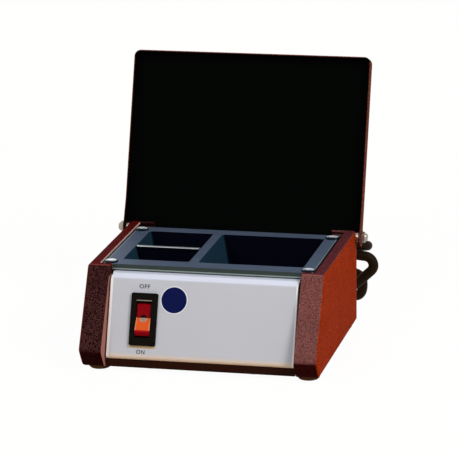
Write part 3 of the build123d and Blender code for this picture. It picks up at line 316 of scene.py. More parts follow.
def surface_group():
    """Smooth paint, plastic, rubber or metal: slow colour drift and fine unevenness."""
    tree, start, end = new_group(
        "Fine surface",
        [
            ("Base", "c", (0.5, 0.5, 0.5, 1)),
            ("Drift", "f", 0.08),
            ("Scale", "f", 120.0),
            ("Roughness", "f", 0.4),
            ("Spread", "f", 0.1),
            ("Depth", "f", 0.05),
        ],
        [("Colour", "c"), ("Roughness", "f"), ("Normal", "v")],
    )
    place = node(tree, "ShaderNodeTexCoord").outputs["Object"]
    slow = node(tree, "ShaderNodeTexNoise", {"Detail": 3.0},
                {"Vector": place, "Scale": start.outputs["Scale"]})
    fine_scale = math_node(tree, "MULTIPLY", start.outputs["Scale"], 14.0)
    fine = node(tree, "ShaderNodeTexNoise", {"Detail": 2.0}, {"Vector": place, "Scale": fine_scale})
    drift = math_node(tree, "MULTIPLY", math_node(tree, "SUBTRACT", slow.outputs["Fac"], 0.5),
                      start.outputs["Drift"])
    gain = math_node(tree, "ADD", math_node(tree, "MULTIPLY", drift, 2.0), 1.0)
    shade = node(tree, "ShaderNodeVectorMath", {"operation": "SCALE"},
                 {0: start.outputs["Base"], "Scale": gain})
    tree.links.new(shade.outputs[0], end.inputs["Colour"])
    uneven = math_node(tree, "MULTIPLY", math_node(tree, "SUBTRACT", fine.outputs["Fac"], 0.5),
                       start.outputs["Spread"])
    rough = math_node(tree, "ADD", start.outputs["Roughness"], uneven, clamp=True)
    tree.links.new(rough, end.inputs["Roughness"])
    bump = node(tree, "ShaderNodeBump", {"Distance": 0.0002},
                {"Height": fine.outputs["Fac"], "Strength": start.outputs["Depth"]})
    tree.links.new(bump.outputs["Normal"], end.inputs["Normal"])
    return tree


def brushed_group():
    """Drawn or machined metal: fine lines along one axis and a slow cloudiness."""
    tree, start, end = new_group(
        "Brushed lines",
        [
            ("Base", "c", (0.5, 0.5, 0.5, 1)),
            ("Stretch", "v", (40.0, 1200.0, 1200.0)),
            ("Roughness", "f", 0.35),
            ("Depth", "f", 0.15),
        ],
        [("Colour", "c"), ("Roughness", "f"), ("Normal", "v")],
    )
    place = node(tree, "ShaderNodeTexCoord").outputs["Object"]
    drawn = node(tree, "ShaderNodeVectorMath", {"operation": "MULTIPLY"},
                 {0: place, 1: start.outputs["Stretch"]})
    lines = node(tree, "ShaderNodeTexNoise", {"Scale": 1.0, "Detail": 3.0},
                 {"Vector": drawn.outputs[0]})
    clouds = node(tree, "ShaderNodeTexNoise", {"Scale": 60.0, "Detail": 2.0}, {"Vector": place})
    gain = math_node(tree, "ADD", remap(tree, lines.outputs["Fac"], 0.3, 0.7, 0.9, 1.08),
                     remap(tree, clouds.outputs["Fac"], 0.3, 0.7, -0.06, 0.06))
    shade = node(tree, "ShaderNodeVectorMath", {"operation": "SCALE"},
                 {0: start.outputs["Base"], "Scale": gain})
    tree.links.new(shade.outputs[0], end.inputs["Colour"])
    uneven = remap(tree, lines.outputs["Fac"], 0.3, 0.7, -0.08, 0.08)
    rough = math_node(tree, "ADD", start.outputs["Roughness"], uneven, clamp=True)
    tree.links.new(rough, end.inputs["Roughness"])
    bump = node(tree, "ShaderNodeBump", {"Distance": 0.0001},
                {"Height": lines.outputs["Fac"], "Strength": start.outputs["Depth"]})
    tree.links.new(bump.outputs["Normal"], end.inputs["Normal"])
    return tree


def inside_box_group():
    """One inside an axis-aligned box of the object's own space, zero outside."""
    tree, start, end = new_group(
        "Inside box",
        [("Low", "v", (0.0, 0.0, 0.0)), ("High", "v", (1.0, 1.0, 1.0))],
        [("Mask", "f")],
    )
    place = node(tree, "ShaderNodeTexCoord").outputs["Object"]
    point = node(tree, "ShaderNodeSeparateXYZ", None, {"Vector": place})
    low = node(tree, "ShaderNodeSeparateXYZ", None, {"Vector": start.outputs["Low"]})
    high = node(tree, "ShaderNodeSeparateXYZ", None, {"Vector": start.outputs["High"]})
    mask = 1.0
    for axis in "XYZ":
        above = math_node(tree, "GREATER_THAN", point.outputs[axis], low.outputs[axis])
        below = math_node(tree, "LESS_THAN", point.outputs[axis], high.outputs[axis])
        mask = math_node(tree, "MULTIPLY", math_node(tree, "MULTIPLY", above, below), mask)
    tree.links.new(mask, end.inputs["Mask"])
    return tree


def beyond_group():
    """One past a distance along a direction of the object's own space."""
    tree, start, end = new_group(
        "Beyond plane",
        [("Direction", "v", (0.0, 0.0, 1.0)), ("Distance", "f", 0.0)],
        [("Mask", "f")],
    )
    place = node(tree, "ShaderNodeTexCoord").outputs["Object"]
    along = node(tree, "ShaderNodeVectorMath", {"operation": "DOT_PRODUCT"},
                 {0: place, 1: start.outputs["Direction"]})
    past = math_node(tree, "GREATER_THAN", along.outputs["Value"], start.outputs["Distance"])
    tree.links.new(past, end.inputs["Mask"])
    return tree


def facing_group():
    """One on faces turned towards a direction of the object's own space, fading to zero."""
    tree, start, end = new_group(
        "Facing way",
        [("Direction", "v", (0.0, 0.0, 1.0)), ("Low", "f", 0.5), ("High", "f", 0.9)],
        [("Mask", "f")],
    )
    facing = node(tree, "ShaderNodeVectorMath", {"operation": "DOT_PRODUCT"}, {
        0: node(tree, "ShaderNodeTexCoord").outputs["Normal"], 1: start.outputs["Direction"],
    })
    mask = node(tree, "ShaderNodeMapRange", None, {
        "Value": facing.outputs["Value"],
        "From Min": start.outputs["Low"],
        "From Max": start.outputs["High"],
    })
    tree.links.new(mask.outputs["Result"], end.inputs["Mask"])
    return tree


GROUPS = {
    "grain": grain_group(),
    "surface": surface_group(),
    "brushed": brushed_group(),
    "inside": inside_box_group(),
    "beyond": beyond_group(),
    "facing": facing_group(),
}


# ------------------------------------------------------------------ materials
def group_node(tree, group, settings):
    """Instance of a shared group with its sockets set."""
    made = tree.nodes.new("ShaderNodeGroup")
    made.node_tree = GROUPS[group]
    for key, value in settings.items():
        made.inputs[key].default_value = value
    return made


def start_material(name, constants):
    """Material with a Principled shader whose constant sockets are set."""
    material = bpy.data.materials.new(name)
    material.use_nodes = True
    tree = material.node_tree
    shader = tree.nodes["Principled BSDF"]
    for key, value in constants.items():
        shader.inputs[key].default_value = value
    return material, tree, shader


def feed_shader(tree, shader, colour, source):
    """Give a shader its colour, and the roughness and normal of one group."""
    tree.links.new(colour, shader.inputs["Base Color"])
    tree.links.new(source.outputs["Roughness"], shader.inputs["Roughness"])
    tree.links.new(source.outputs["Normal"], shader.inputs["Normal"])


def material_from(name, group, settings, **constants):
    """Material whose colour, roughness and normal come from one shared group."""
    named = {key.replace("_", " "): value for key, value in constants.items()}
    material, tree, shader = start_material(name, named)
    made = group_node(tree, group, settings)
    feed_shader(tree, shader, made.outputs["Colour"], made)
    return material


def rgb(red, green, blue):
    """Linear colour with full alpha."""
    return (red, green, blue, 1.0)


def facing_mask(tree, direction, low, high):
    """Mask of the faces that look one way."""
    made = group_node(tree, "facing", {"Direction": direction, "Low": low, "High": high})
    return made.outputs["Mask"]


def box_mask(tree, low, high):
    """Mask of what lies inside a box."""
    return group_node(tree, "inside", {"Low": low, "High": high}).outputs["Mask"]


def beyond_mask(tree, direction, distance):
    """Mask of what lies past a plane."""
    made = group_node(tree, "beyond", {"Direction": direction, "Distance": distance})
    return made.outputs["Mask"]


def switch_strip(tree, half, low, high):
    """Mask of a strip across the switch, from one to another place up and out, in mm."""
    depth = Vector((0, 5 * MM, 0))
    return box_mask(
        tree, on_panel(SWITCH_X - half, *low) - depth, on_panel(SWITCH_X + half, *high) + depth,
    )


LID_TONES = (rgb(0.075, 0.012, 0.006), rgb(0.34, 0.085, 0.045))
# Painted warm light on the cheeks' outer sides.
SIDE_LIT_TONES = (rgb(0.24, 0.016, 0.001), rgb(0.70, 0.074, 0.003))
CHEEK_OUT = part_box("right_cheek")[1].x
CHEEK_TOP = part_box("right_cheek")[1].z
# Where the cheeks end towards the middle: their return lips, then their top flanges.
LIP_X = 56.4 * MM
RIM_X = 63.5 * MM
# How far under the lid's outer faces the outer paint still counts.
SKIN = 0.5 * MM
# Brushed lines of the deck and its divider run along X.
PLATE_LINES = (60.0, 900.0, 900.0)


def wrinkle_paint(name, way, tones, strips, depth=0.7):
    """Cheek wrinkle paint: a pair of tones, painted lit or shaded, for each way its folded sheet
    faces.
    """
    material, tree, shader = start_material(name, {"Specular IOR Level": 0.004})

    def grain(pair):
        return group_node(tree, "grain", {
            "Dark": pair[0], "Light": pair[1], "Scale": GRAIN_SCALE, "Depth": depth,
        })

    front = grain(tones["front"])
    outer = math_node(
        tree, "MULTIPLY",
        beyond_mask(tree, (way, 0, 0), CHEEK_OUT - 1.5 * MM),
        facing_mask(tree, (way, 0, 0), 0.45, 0.80),
    )
    # Painted light and shade: top tones, painted shade on the down-facing chamfer, painted warm
    # light on the outer side.
    turned = [
        (tones["top"], facing_mask(tree, (0, 0, 1), 0.75, 0.95)),
        (tones["under"], facing_mask(tree, (0, 0, -1), -0.1, 0.35)),
        (SIDE_LIT_TONES, outer),
    ]
    colour = front.outputs["Colour"]
    for pair, mask in turned:
        colour = mix_colour(tree, mask, colour, grain(pair).outputs["Colour"])
    # Painted highlight along the bend between the front and top flanges.
    bend_way = (0, -0.5, 0.866)
    bend = math_node(tree, "MULTIPLY", facing_mask(tree, bend_way, 0.955, 0.995), 0.5)
    colour = mix_colour(tree, bend, colour, tones["bend"])
    # Strips of painted light, such as the left cheek's painted edge highlights.
    for low, high, tone in strips:
        colour = mix_colour(tree, box_mask(tree, low, high), colour, tone)
    feed_shader(tree, shader, colour, front)
    return material


# Both cheeks wear one paint: the right cheek's tones are painted lit, with a pinkish painted sheen
# on its front, and the left cheek's are painted in shade. In each, top and under hold painted light
# and shade, and bend a painted highlight.
RIGHT_LIT_TONES = {
    "front": (rgb(0.130, 0.041, 0.038), rgb(0.35, 0.142, 0.132)),
    "top": (rgb(0.078, 0.018, 0.022), rgb(0.21, 0.048, 0.058)),
    "under": (rgb(0.020, 0.002, 0.002), rgb(0.070, 0.008, 0.006)),
    "bend": rgb(0.42, 0.14, 0.13),
}
LEFT_SHADED_TONES = {
    "front": (rgb(0.012, 0.002, 0.002), rgb(0.135, 0.050, 0.048)),
    "top": (rgb(0.070, 0.004, 0.003), rgb(0.170, 0.011, 0.009)),
    "under": (rgb(0.010, 0.001, 0.001), rgb(0.050, 0.006, 0.005)),
    "bend": rgb(0.40, 0.09, 0.08),
}


def lid_paint():
    """Black inside, brown wrinkle paint on the outer skins."""
    material, tree, shader = start_material("lid_paint", {"Specular IOR Level": 0.01})
    grain = group_node(tree, "grain", {
        "Dark": LID_TONES[0], "Light": LID_TONES[1], "Scale": GRAIN_SCALE, "Depth": 0.6,
    })
    plain = group_node(tree, "surface", {
        "Base": rgb(0.0008, 0.0014, 0.0009), "Drift": 0.3, "Scale": 90.0,
        "Roughness": 0.7, "Spread": 0.1, "Depth": 0.08,
    })
    skins = [
        (LID_OUT, LID_OUT.dot(PIVOT) + LID_OFFSET - SKIN),
        (LID_UP, LID_UP.dot(PIVOT) + LID_LENGTH - SKIN),
        (Vector((1, 0, 0)), LID_HALF - SKIN),
        (Vector((-1, 0, 0)), LID_HALF - SKIN),
    ]
    mask = 0.0
    for direction, distance in skins:
        mask = math_node(tree, "MAXIMUM", beyond_mask(tree, direction, distance), mask)
    colour = mix_colour(tree, mask, plain.outputs["Colour"], grain.outputs["Colour"])
    tree.links.new(colour, shader.inputs["Base Color"])
    rough = mix(tree, "FLOAT", mask, plain.outputs["Roughness"], grain.outputs["Roughness"])
    tree.links.new(rough, shader.inputs["Roughness"])
    normal = mix(tree, "VECTOR", mask, plain.outputs["Normal"], grain.outputs["Normal"])
    tree.links.new(normal, shader.inputs["Normal"])
    return material


def deck_trims():
    """Thin strips of painted light: a highlight inside a shadow gap along each side, a lip
    highlight.
    """
    # Painted shadow for the side gaps, painted highlights for the lines.
    dark = rgb(0.003, 0.003, 0.004)
    pale = rgb(0.21, 0.26, 0.31)
    lip_highlight = rgb(0.27, 0.33, 0.31)
    past = 1 * MM
    gap_start, line_start, line_end = -0.5 * MM, 1.2 * MM, 1.8 * MM
    lip_bottom, lip_top = DECK_TOP - 3.4 * MM, DECK_TOP - 2.4 * MM
    trims = []
    for way, edge in ((1, DECK_LOW.x), (-1, DECK_HIGH.x)):
        for near, far, tone in ((gap_start, line_start, dark), (line_start, line_end, pale)):
            left, right = sorted((edge + way * near, edge + way * far))
            trims.append((
                (left, DECK_LOW.y - past, DECK_TOP - past),
                (right, DECK_HIGH.y + past, DECK_TOP + past),
                tone,
            ))
    trims.append((
        (DECK_LOW.x, DECK_FRONT - past, lip_bottom),
        (DECK_HIGH.x, DECK_FRONT + past, lip_top),
        lip_highlight,
    ))
    return trims


def deck_metal():
    """Satin blue-grey deck, duller on its front lip, with dark coated wells and painted light on
    walls facing +X.
    """
    material, tree, shader = start_material("deck_metal", {"Specular IOR Level": 0.015})
    deck = group_node(tree, "brushed", {
        "Base": rgb(0.088, 0.119, 0.180), "Stretch": PLATE_LINES,
        "Roughness": 0.5, "Depth": 0.12,
    })
    well = group_node(tree, "surface", {
        "Base": rgb(0.0008, 0.0010, 0.0050), "Drift": 0.2, "Scale": 80.0,
        "Roughness": 0.6, "Spread": 0.1, "Depth": 0.1,
    })
    inside = box_mask(tree, WELLS_LOW, WELLS_HIGH)
    front = beyond_mask(tree, (0.0, -1.0, 0.0), -DECK_FRONT - 0.3 * MM)
    lip = mix_colour(tree, front, deck.outputs["Colour"], rgb(0.046, 0.062, 0.058))
    # Painted shadow gaps and painted highlight lines from deck_trims.
    for low, high, tone in deck_trims():
        lip = mix_colour(tree, box_mask(tree, low, high), lip, tone)
    # Painted light: well walls that face +X are painted lighter and bluer.
    facing = facing_mask(tree, (1, 0, 0), 0.5, 0.9)
    walls_with_painted_light = mix_colour(tree, facing, well.outputs["Colour"], rgb(0.013, 0.041, 0.070))
    tree.links.new(mix_colour(tree, inside, lip, walls_with_painted_light), shader.inputs["Base Color"])
    tree.links.new(remap(tree, inside, 0, 1, 0.10, 0.0), shader.inputs["Metallic"])
    rough = mix(tree, "FLOAT", inside, deck.outputs["Roughness"], well.outputs["Roughness"])
    tree.links.new(rough, shader.inputs["Roughness"])
    tree.links.new(deck.outputs["Normal"], shader.inputs["Normal"])
    return material


def divider_metal():
    """Dark coated plate whose beaded top edge is bright bare metal."""
    material, tree, shader = start_material("divider_metal", {"Specular IOR Level": 0.02})
    bright = group_node(tree, "brushed", {
        "Base": rgb(0.62, 0.64, 0.66), "Stretch": PLATE_LINES,
        "Roughness": 0.4, "Depth": 0.08,
    })
    mask = math_node(
        tree, "MULTIPLY",
        beyond_mask(tree, (0.0, 0.0, 1.0), DECK_TOP - 1.65 * MM),
        facing_mask(tree, (0.0, 0.0, 1.0), 0.45, 0.70),
    )
    colour = mix_colour(tree, mask, rgb(0.001, 0.0012, 0.006), bright.outputs["Colour"])
    tree.links.new(colour, shader.inputs["Base Color"])
    tree.links.new(remap(tree, mask, 0, 1, 0.0, 0.8), shader.inputs["Metallic"])
    tree.links.new(remap(tree, mask, 0, 1, 0.6, 0.35), shader.inputs["Roughness"])
    tree.links.new(bright.outputs["Normal"], shader.inputs["Normal"])
    return material


def panel_paint():
    """Light grey paint with painted light: highlit bevel and sides, warm foot, warm shade below the
    switch.
    """
    material, tree, shader = start_material("panel_paint", {"Specular IOR Level": 0.2})
    paint = group_node(tree, "surface", {
        "Base": rgb(0.570, 0.590, 0.650), "Drift": 0.02, "Scale": 40.0,
        "Roughness": 0.42, "Spread": 0.05, "Depth": 0.02,
    })
    place = node(tree, "ShaderNodeTexCoord").outputs["Object"]
    along = node(tree, "ShaderNodeVectorMath", {"operation": "DOT_PRODUCT"}, {0: place})
    along.inputs[1].default_value = PANEL_UP
    # Painted highlight: the bevel is painted paler and bluer.
    bevel = remap(tree, along.outputs["Value"], up_panel(46.8), up_panel(48.0))
    # Painted warm reflection along the foot of the panel.
    foot_reflection = remap(tree, along.outputs["Value"], up_panel(4.6), up_panel(0.6))
    colour = mix_colour(tree, bevel, paint.outputs["Colour"], rgb(0.81, 0.85, 1.0))
    colour = mix_colour(tree, foot_reflection, colour, rgb(0.86, 0.62, 0.40))
    # Painted highlights along both side edges of the panel.
    for way in (-1, 1):
        edge = beyond_mask(tree, (way, 0, 0), PANEL_HALF - 1.5 * MM)
        colour = mix_colour(tree, edge, colour, rgb(0.90, 0.90, 0.92))
    # Painted shadow in the gap at the right edge, beside the right cheek.
    gap = beyond_mask(tree, (1, 0, 0), PANEL_HALF - 0.6 * MM)
    colour = mix_colour(tree, gap, colour, rgb(0.01, 0.006, 0.006))
    # Warm painted shade on the panel just under the switch.
    shade = switch_strip(tree, 7.6, (7.7, -1.0), (8.9, 0.0))
    colour = mix_colour(tree, shade, colour, rgb(0.56, 0.40, 0.22))
    feed_shader(tree, shader, colour, paint)
    return material


def near_mask(tree, point, reach):
    """Mask of what lies within a distance of one point."""
    away = node(tree, "ShaderNodeVectorMath", {"operation": "DISTANCE"}, {
        0: node(tree, "ShaderNodeTexCoord").outputs["Object"],
    })
    away.inputs[1].default_value = point
    return math_node(tree, "LESS_THAN", away.outputs["Value"], reach)


def rocker_red():
    """Red rocker: painted shade on its pressed half, painted orange light below, red nose, lens
    ring.
    """
    material, tree, shader = start_material("rocker_red", {"Specular IOR Level": 0.015})
    paint = group_node(tree, "surface", {
        "Base": rgb(0.40, 0.004, 0.012), "Drift": 0.10, "Scale": 400.0,
        "Roughness": 0.3, "Spread": 0.06, "Depth": 0.02,
    })
    half = 3.8
    middle = box_mask(tree, ((SWITCH_X - half) * MM, -1, -1), ((SWITCH_X + half) * MM, 1, 1))
    # Painted light on the lower face, paler towards its ends as painted highlights.
    lit_facet = mix_colour(tree, middle, rgb(0.84, 0.31, 0.16), rgb(0.80, 0.115, 0.022))
    # Painted shade on the pressed upper half, less deep at its middle.
    upper = mix_colour(tree, middle, rgb(0.085, 0.001, 0.003), rgb(0.25, 0.001, 0.004))
    colour = paint.outputs["Colour"]
    for low, tone in ((ROCKER_NOSE, lit_facet), (ROCKER_RIDGE, upper)):
        above = beyond_mask(tree, PANEL_UP, up_panel(low))
        colour = mix_colour(tree, above, colour, tone)
    # Ring round the lens: painted light below the ridge, painted shade above it.
    ring = mix_colour(tree, above, rgb(0.46, 0.30, 0.23), rgb(0.015, 0.001, 0.001))
    lens = near_mask(tree, (LENS_LOW + LENS_HIGH) / 2, 2.3 * MM)
    colour = mix_colour(tree, lens, colour, ring)
    feed_shader(tree, shader, colour, paint)
    return material


def rocker_lens():
    """Dull lens dot, painted lit on its lower half and in painted shade on its upper half."""
    material, tree, shader = start_material("rocker_lens", {"Specular IOR Level": 0.05})
    plain = group_node(tree, "surface", {
        "Base": rgb(0.36, 0.27, 0.21), "Drift": 0.05, "Scale": 300.0,
        "Roughness": 0.3, "Spread": 0.1, "Depth": 0.05,
    })
    above = beyond_mask(tree, PANEL_UP, up_panel(ROCKER_RIDGE))
    colour = mix_colour(tree, above, plain.outputs["Colour"], rgb(0.015, 0.002, 0.002))
    feed_shader(tree, shader, colour, plain)
    return material


def switch_plastic():
    """Black switch body with a painted highlight line at the top of the rocker's opening."""
    material, tree, shader = start_material("switch_black", {"Specular IOR Level": 0.015})
    plain = group_node(tree, "surface", {
        "Base": rgb(0.0058, 0.0052, 0.0036), "Drift": 0.1, "Scale": 150.0,
        "Roughness": 0.5, "Spread": 0.1, "Depth": 0.08,
    })
    # Painted highlight along the top edge of the rocker's opening.
    line = switch_strip(tree, 4.5, (34.6, 2.0), (35.2, 2.0))
    colour = mix_colour(tree, line, plain.outputs["Colour"], rgb(0.26, 0.23, 0.20))
    feed_shader(tree, shader, colour, plain)
    return material


def screw_plate():
    """Plated deck screw: painted highlight on the crown, painted shade on its slopes."""
    material, tree, shader = start_material("screw_plate", {
        "Metallic": 0.15, "Specular IOR Level": 0.05,
    })
    plate = group_node(tree, "surface", {
        "Base": rgb(0.90, 0.93, 0.97), "Drift": 0.1, "Scale": 200.0,
        "Roughness": 0.3, "Spread": 0.1, "Depth": 0.03,
    })
    # Painted highlight where the head faces up, painted shade on the slopes.
    crown = facing_mask(tree, (0.0, 0.10, 0.995), 0.962, 0.982)
    colour = mix_colour(tree, crown, rgb(0.004, 0.010, 0.020), plate.outputs["Colour"])
    feed_shader(tree, shader, colour, plate)
    return material


def fine(name, base, roughness, drift, scale, spread, depth, **constants):
    """Material from the fine surface group."""
    return material_from(name, "surface", {
        "Base": base, "Roughness": roughness, "Drift": drift,
        "Scale": scale, "Spread": spread, "Depth": depth,
    }, **constants)


def left_cheek_edge_highlights():
    """Painted light on the left cheek: its return lip, and a highlight on its top flange's inner
    edge.
    """
    inner_x = -50.0 * MM
    return [
        (
            (-LIP_X - 0.05 * MM, -90.0 * MM, 0.0),
            (inner_x, -40.0 * MM, CHEEK_TOP - 6.0 * MM),
            rgb(0.46, 0.20, 0.16),
        ),
        (
            (-RIM_X - 0.05 * MM, -52.2 * MM, CHEEK_TOP - 1.7 * MM),
            (inner_x, 41.5 * MM, CHEEK_TOP),
            rgb(0.95, 0.62, 0.57),
        ),
    ]


MATERIALS = {
    "right_paint": wrinkle_paint("right_paint", 1, RIGHT_LIT_TONES, []),
    "left_paint": wrinkle_paint("left_paint", -1, LEFT_SHADED_TONES, left_cheek_edge_highlights(), depth=0.9),
    "panel_paint": panel_paint(),
    "lid_paint": lid_paint(),
    "deck_metal": deck_metal(),
    "divider_metal": divider_metal(),
    "base_steel": fine(
        "base_steel", rgb(0.024, 0.007, 0.004), Specular_IOR_Level=0.015,
        roughness=0.6, drift=0.15, scale=90.0, spread=0.15, depth=0.1,
    ),
    "sheet_steel": material_from("sheet_steel", "brushed", {
        "Base": rgb(0.52, 0.53, 0.54), "Stretch": (40.0, 1200.0, 1200.0),
        "Roughness": 0.38, "Depth": 0.15,
    }, Metallic=1.0),
    "nickel": fine(
        "nickel", rgb(0.80, 0.78, 0.73), Metallic=1.0,
        roughness=0.2, drift=0.08, scale=200.0, spread=0.1, depth=0.03,
    ),
    "pivot_metal": fine(
        "pivot_metal", rgb(0.33, 0.30, 0.26), Metallic=1.0,
        roughness=0.28, drift=0.08, scale=200.0, spread=0.1, depth=0.03,
    ),
    "brass": fine(
        "brass", rgb(0.72, 0.52, 0.22), Metallic=1.0,
        roughness=0.3, drift=0.12, scale=150.0, spread=0.15, depth=0.05,
    ),
    "foot_rubber": fine(
        "foot_rubber", rgb(0.130, 0.052, 0.012), Specular_IOR_Level=0.1,
        roughness=0.6, drift=0.2, scale=150.0, spread=0.1, depth=0.2,
    ),
    "cord_rubber": fine(
        "cord_rubber", rgb(0.016, 0.008, 0.003), Specular_IOR_Level=0.05,
        roughness=0.5, drift=0.45, scale=60.0, spread=0.15, depth=0.15,
    ),
    "switch_black": switch_plastic(),
    "screw_plate": screw_plate(),
    "rocker_red": rocker_red(),
    "rocker_lens": rocker_lens(),
    "mica": fine(
        "mica", rgb(0.42, 0.36, 0.27),
        roughness=0.6, drift=0.3, scale=300.0, spread=0.1, depth=0.2,
    ),
    "wool": fine(
        "wool", rgb(0.62, 0.56, 0.38),
        roughness=0.9, drift=0.3, scale=400.0, spread=0.1, depth=1.0,
    ),
    "porcelain": fine(
        "porcelain", rgb(0.74, 0.72, 0.66),
        roughness=0.25, drift=0.05, scale=100.0, spread=0.08, depth=0.03,
    ),
    "wire": fine(
        "wire", rgb(0.30, 0.30, 0.32),
        roughness=0.4, drift=0.1, scale=200.0, spread=0.1, depth=0.05,
    ),
    "ink": fine(
        "ink", rgb(0.012, 0.012, 0.014),
        roughness=0.5, drift=0.1, scale=300.0, spread=0.1, depth=0.02,
    ),
    "sign_blue": fine(
        "sign_blue", rgb(0.0015, 0.005, 0.065), Specular_IOR_Level=0.04,
        roughness=0.45, drift=0.06, scale=200.0, spread=0.08, depth=0.02,
    ),
    "sign_white": fine(
        "sign_white", rgb(0.76, 0.80, 0.87),
        roughness=0.35, drift=0.04, scale=200.0, spread=0.08, depth=0.02,
    ),
}

NODE_MATERIAL = {
    "right_cheek": "right_paint",
    "left_cheek": "left_paint",
    "rubber_feet": "foot_rubber",
    "foot_screws": "nickel",
    "front_panel": "panel_paint",
    "base_plate": "base_steel",
    "rear_panel": "sheet_steel",
    "well_tray": "deck_metal",
    "tray_screws": "screw_plate",
    "divider_plate": "divider_metal",
    "lid": "lid_paint",
    "pivot_studs": "pivot_metal",
    "pivot_cap_nuts": "pivot_metal",
    "switch_housing": "switch_black",
    "switch_rocker": "rocker_red",
    "rocker_lens": "rocker_lens",
    "switch_blades": "brass",
    "heating_element": "mica",
    "clamp_plate": "sheet_steel",
    "insulation_blanket": "wool",
    "heat_shield": "sheet_steel",
    "pack_studs": "nickel",
    "pack_nuts": "nickel",
    "thermostat": "porcelain",
    "thermostat_tabs": "brass",
    "thermostat_screws": "nickel",
    "terminal_block": "porcelain",
    "terminal_clamps": "brass",
    "earth_stud": "nickel",
    "earth_nut": "nickel",
    "earth_tag": "brass",
    "push_on_sleeves": "brass",
    "inner_leads": "wire",
    "supply_cores": "wire",
    "base_screws": "nickel",
    "rear_screws": "nickel",
    "shield_screws": "nickel",
    "cord_boot": "cord_rubber",
    "cord_tie": "switch_black",
    "power_lead": "cord_rubber",
    "lead_coil": "cord_rubber",
    "tail_lead": "cord_rubber",
    "plug_body": "cord_rubber",
    "plug_pins": "nickel",
    "plug_earth_clips": "nickel",
}


SOFT_BEND = math.radians(32)


def dress_nodes():
    """Give each CAD node its material and smooth shading across its soft bends."""
    for name, material in NODE_MATERIAL.items():
        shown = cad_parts[name]
        shown.data.materials.clear()
        shown.data.materials.append(MATERIALS[material])
        for face in shown.data.polygons:
            face.use_smooth = True
        shown.data.set_sharp_from_angle(angle=SOFT_BEND)


dress_nodes()


# ------------------------------------------------------------------ mains lead
# Routes are in millimetres: from the boot to the coil, and from the coil to the plug.
LEAD_DIAMETER = 6.2 * MM
LEAD_ROUTE = [
    (46.0, 64.0266, 44.0),
    (46.0, 78.4, 44.0),
    (69.0, 78.4, 40.4),
    (69.0, 93.0, 36.6),
    (46.0, 93.0, 34.5),
    (46.0, 78.4, 36.0),
    (64.6, 78.4, 34.2),
    (72.4, 78.4, 33.5),
    (75.0, 78.4, 26.8),
    (69.5, 78.4, 21.7),
    (59.0, 78.4, 12.0),
    (44.2, 78.4, 9.8),
    (44.2, 93.0, 17.0),
    (64.8, 93.0, 20.2),
    (64.8, 93.0, 3.2),
    (52.0, 99.5, 3.1),
    (39.1, 109.9, 3.1),
]
TAIL_ROUTE = [
    (21.2, 134.2, 9.9),
    (12.6, 150.0, 7.5),
    (-1.5, 161.5, 3.1),
    (-18.04, 166.0, 4.14),
    (-31.5, 166.0, 8.0),
]


def coil_points():
    """Centre of the put-away coil: in on the floor, up a layer, out on top."""
    centre_x, centre_y, floor_height = -6.0, 100.0, 3.1
    start = math.radians(30)
    turns_in, turns_up, turns_out = 3, 0.5, 2.5
    pitch, outer, steps_per_turn = 6.8, 44.0, 16
    turns = turns_in + turns_up + turns_out
    middle = turns_in + turns_up / 2
    count = round(turns * steps_per_turn)
    points = []
    for i in range(count + 1):
        turn = turns * i / count
        wound = turn if turn < middle else 2 * middle - turn
        radius = outer - pitch * wound
        climb = min(max((turn - turns_in) / turns_up, 0), 1)
        rise = pitch * (1 - math.cos(math.pi * climb)) / 2
        angle = start + 2 * math.pi * turn
        points.append((
            centre_x + radius * math.cos(angle),
            centre_y + radius * math.sin(angle),
            floor_height + rise,
        ))
    return points


def add_lead():
    """The mains lead from the boot to the plug as one smooth spline."""
    route = LEAD_ROUTE + coil_points() + TAIL_ROUTE
    data = bpy.data.curves.new("mains_lead", "CURVE")
    data.dimensions = "3D"
    data.bevel_depth = LEAD_DIAMETER / 2
    data.bevel_resolution = 5
    data.resolution_u = 8
    data.use_fill_caps = True
    spline = data.splines.new("NURBS")
    spline.points.add(len(route) - 1)
    for point, place in zip(spline.points, route):
        point.co = (place[0] * MM, place[1] * MM, place[2] * MM, 1)
    spline.order_u = 3
    spline.use_endpoint_u = True
    lead = bpy.data.objects.new("mains_lead", data)
    bpy.context.scene.collection.objects.link(lead)
    data.materials.append(MATERIALS["cord_rubber"])
    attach(lead, "body")
    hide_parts("power_lead", "lead_coil", "tail_lead")


add_lead()


# ------------------------------------------------------------------ panel print
def place_on_panel(piece, x, s, out):
    """Move a flat piece, modelled in its own X-Y plane, onto the front panel."""
    turn = Matrix((Vector((1, 0, 0)), PANEL_UP, PANEL_OUT)).transposed().to_4x4()
    move = Matrix.Translation(on_panel(x, s, out)) @ turn
    piece.data.transform(move)


def finish_piece(piece, body, material):
    """Link, colour and attach a new piece."""
    bpy.context.scene.collection.objects.link(piece)
    piece.data.materials.append(MATERIALS[material])
    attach(piece, body)


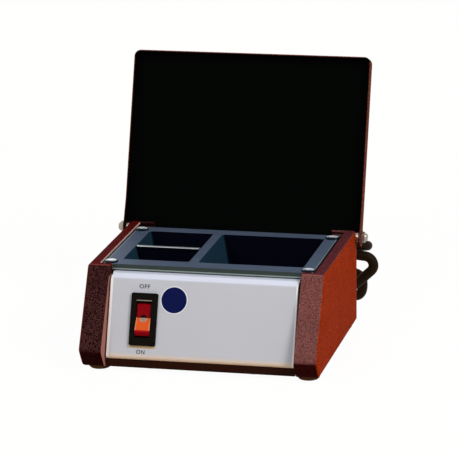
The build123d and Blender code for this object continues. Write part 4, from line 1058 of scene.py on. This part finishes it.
def add_word(name, text, x, s, height, width):
    """Printed word of a given height and width, centred on a place of the panel."""
    capital_share = 0.7
    print_out = 0.04
    data = bpy.data.curves.new(name, "FONT")
    data.body = text
    data.align_x = "CENTER"
    data.align_y = "CENTER"
    data.size = height * MM / capital_share
    data.extrude = 0.01 * MM
    data.offset = 0.07 * MM
    data.space_character = 1.12
    source = bpy.data.objects.new(name + "_text", data)
    bpy.context.scene.collection.objects.link(source)
    bpy.context.view_layer.update()
    graph = bpy.context.evaluated_depsgraph_get()
    mesh = bpy.data.meshes.new_from_object(source.evaluated_get(graph))
    bpy.data.objects.remove(source)
    across = [v.co.x for v in mesh.vertices]
    factor = width * MM / (max(across) - min(across))
    mesh.transform(Matrix.Diagonal((factor, 1, 1, 1)))
    word = bpy.data.objects.new(name, mesh)
    place_on_panel(word, x, s, print_out)
    finish_piece(word, "body", "ink")


def add_disc(name, x, s, outer, inner, material):
    """Flat printed ring, or a disc where the inner radius is zero, with a raised face."""
    work = bmesh.new()
    steps = 64
    thickness = 0.06 * MM
    print_out = 0.02
    rings = []
    for radius in (outer, inner) if inner else (outer,):
        ring = []
        for i in range(steps):
            angle = 2 * math.pi * i / steps
            place = (radius * math.cos(angle) * MM, radius * math.sin(angle) * MM, 0)
            ring.append(work.verts.new(place))
        rings.append(ring)
    if inner:
        for i in range(steps):
            j = (i + 1) % steps
            work.faces.new((rings[0][i], rings[0][j], rings[1][j], rings[1][i]))
    else:
        work.faces.new(rings[0])
    solid = bmesh.ops.extrude_face_region(work, geom=list(work.faces))
    lifted = [v for v in solid["geom"] if isinstance(v, bmesh.types.BMVert)]
    bmesh.ops.translate(work, verts=lifted, vec=(0, 0, thickness))
    bmesh.ops.recalc_face_normals(work, faces=work.faces)
    mesh = bpy.data.meshes.new(name)
    work.to_mesh(mesh)
    work.free()
    disc = bpy.data.objects.new(name, mesh)
    place_on_panel(disc, x, s, print_out)
    finish_piece(disc, "body", material)


add_word("word_off", "OFF", x=-35.0, s=43.0, height=2.3, width=6.4)
add_word("word_on", "ON", x=-35.1, s=5.1, height=2.3, width=5.0)
add_disc("blue_dot", x=-17.2, s=36.0, outer=7.5, inner=0, material="sign_blue")
add_disc("blue_dot_rim", x=-17.2, s=36.0, outer=8.0, inner=7.5, material="sign_white")
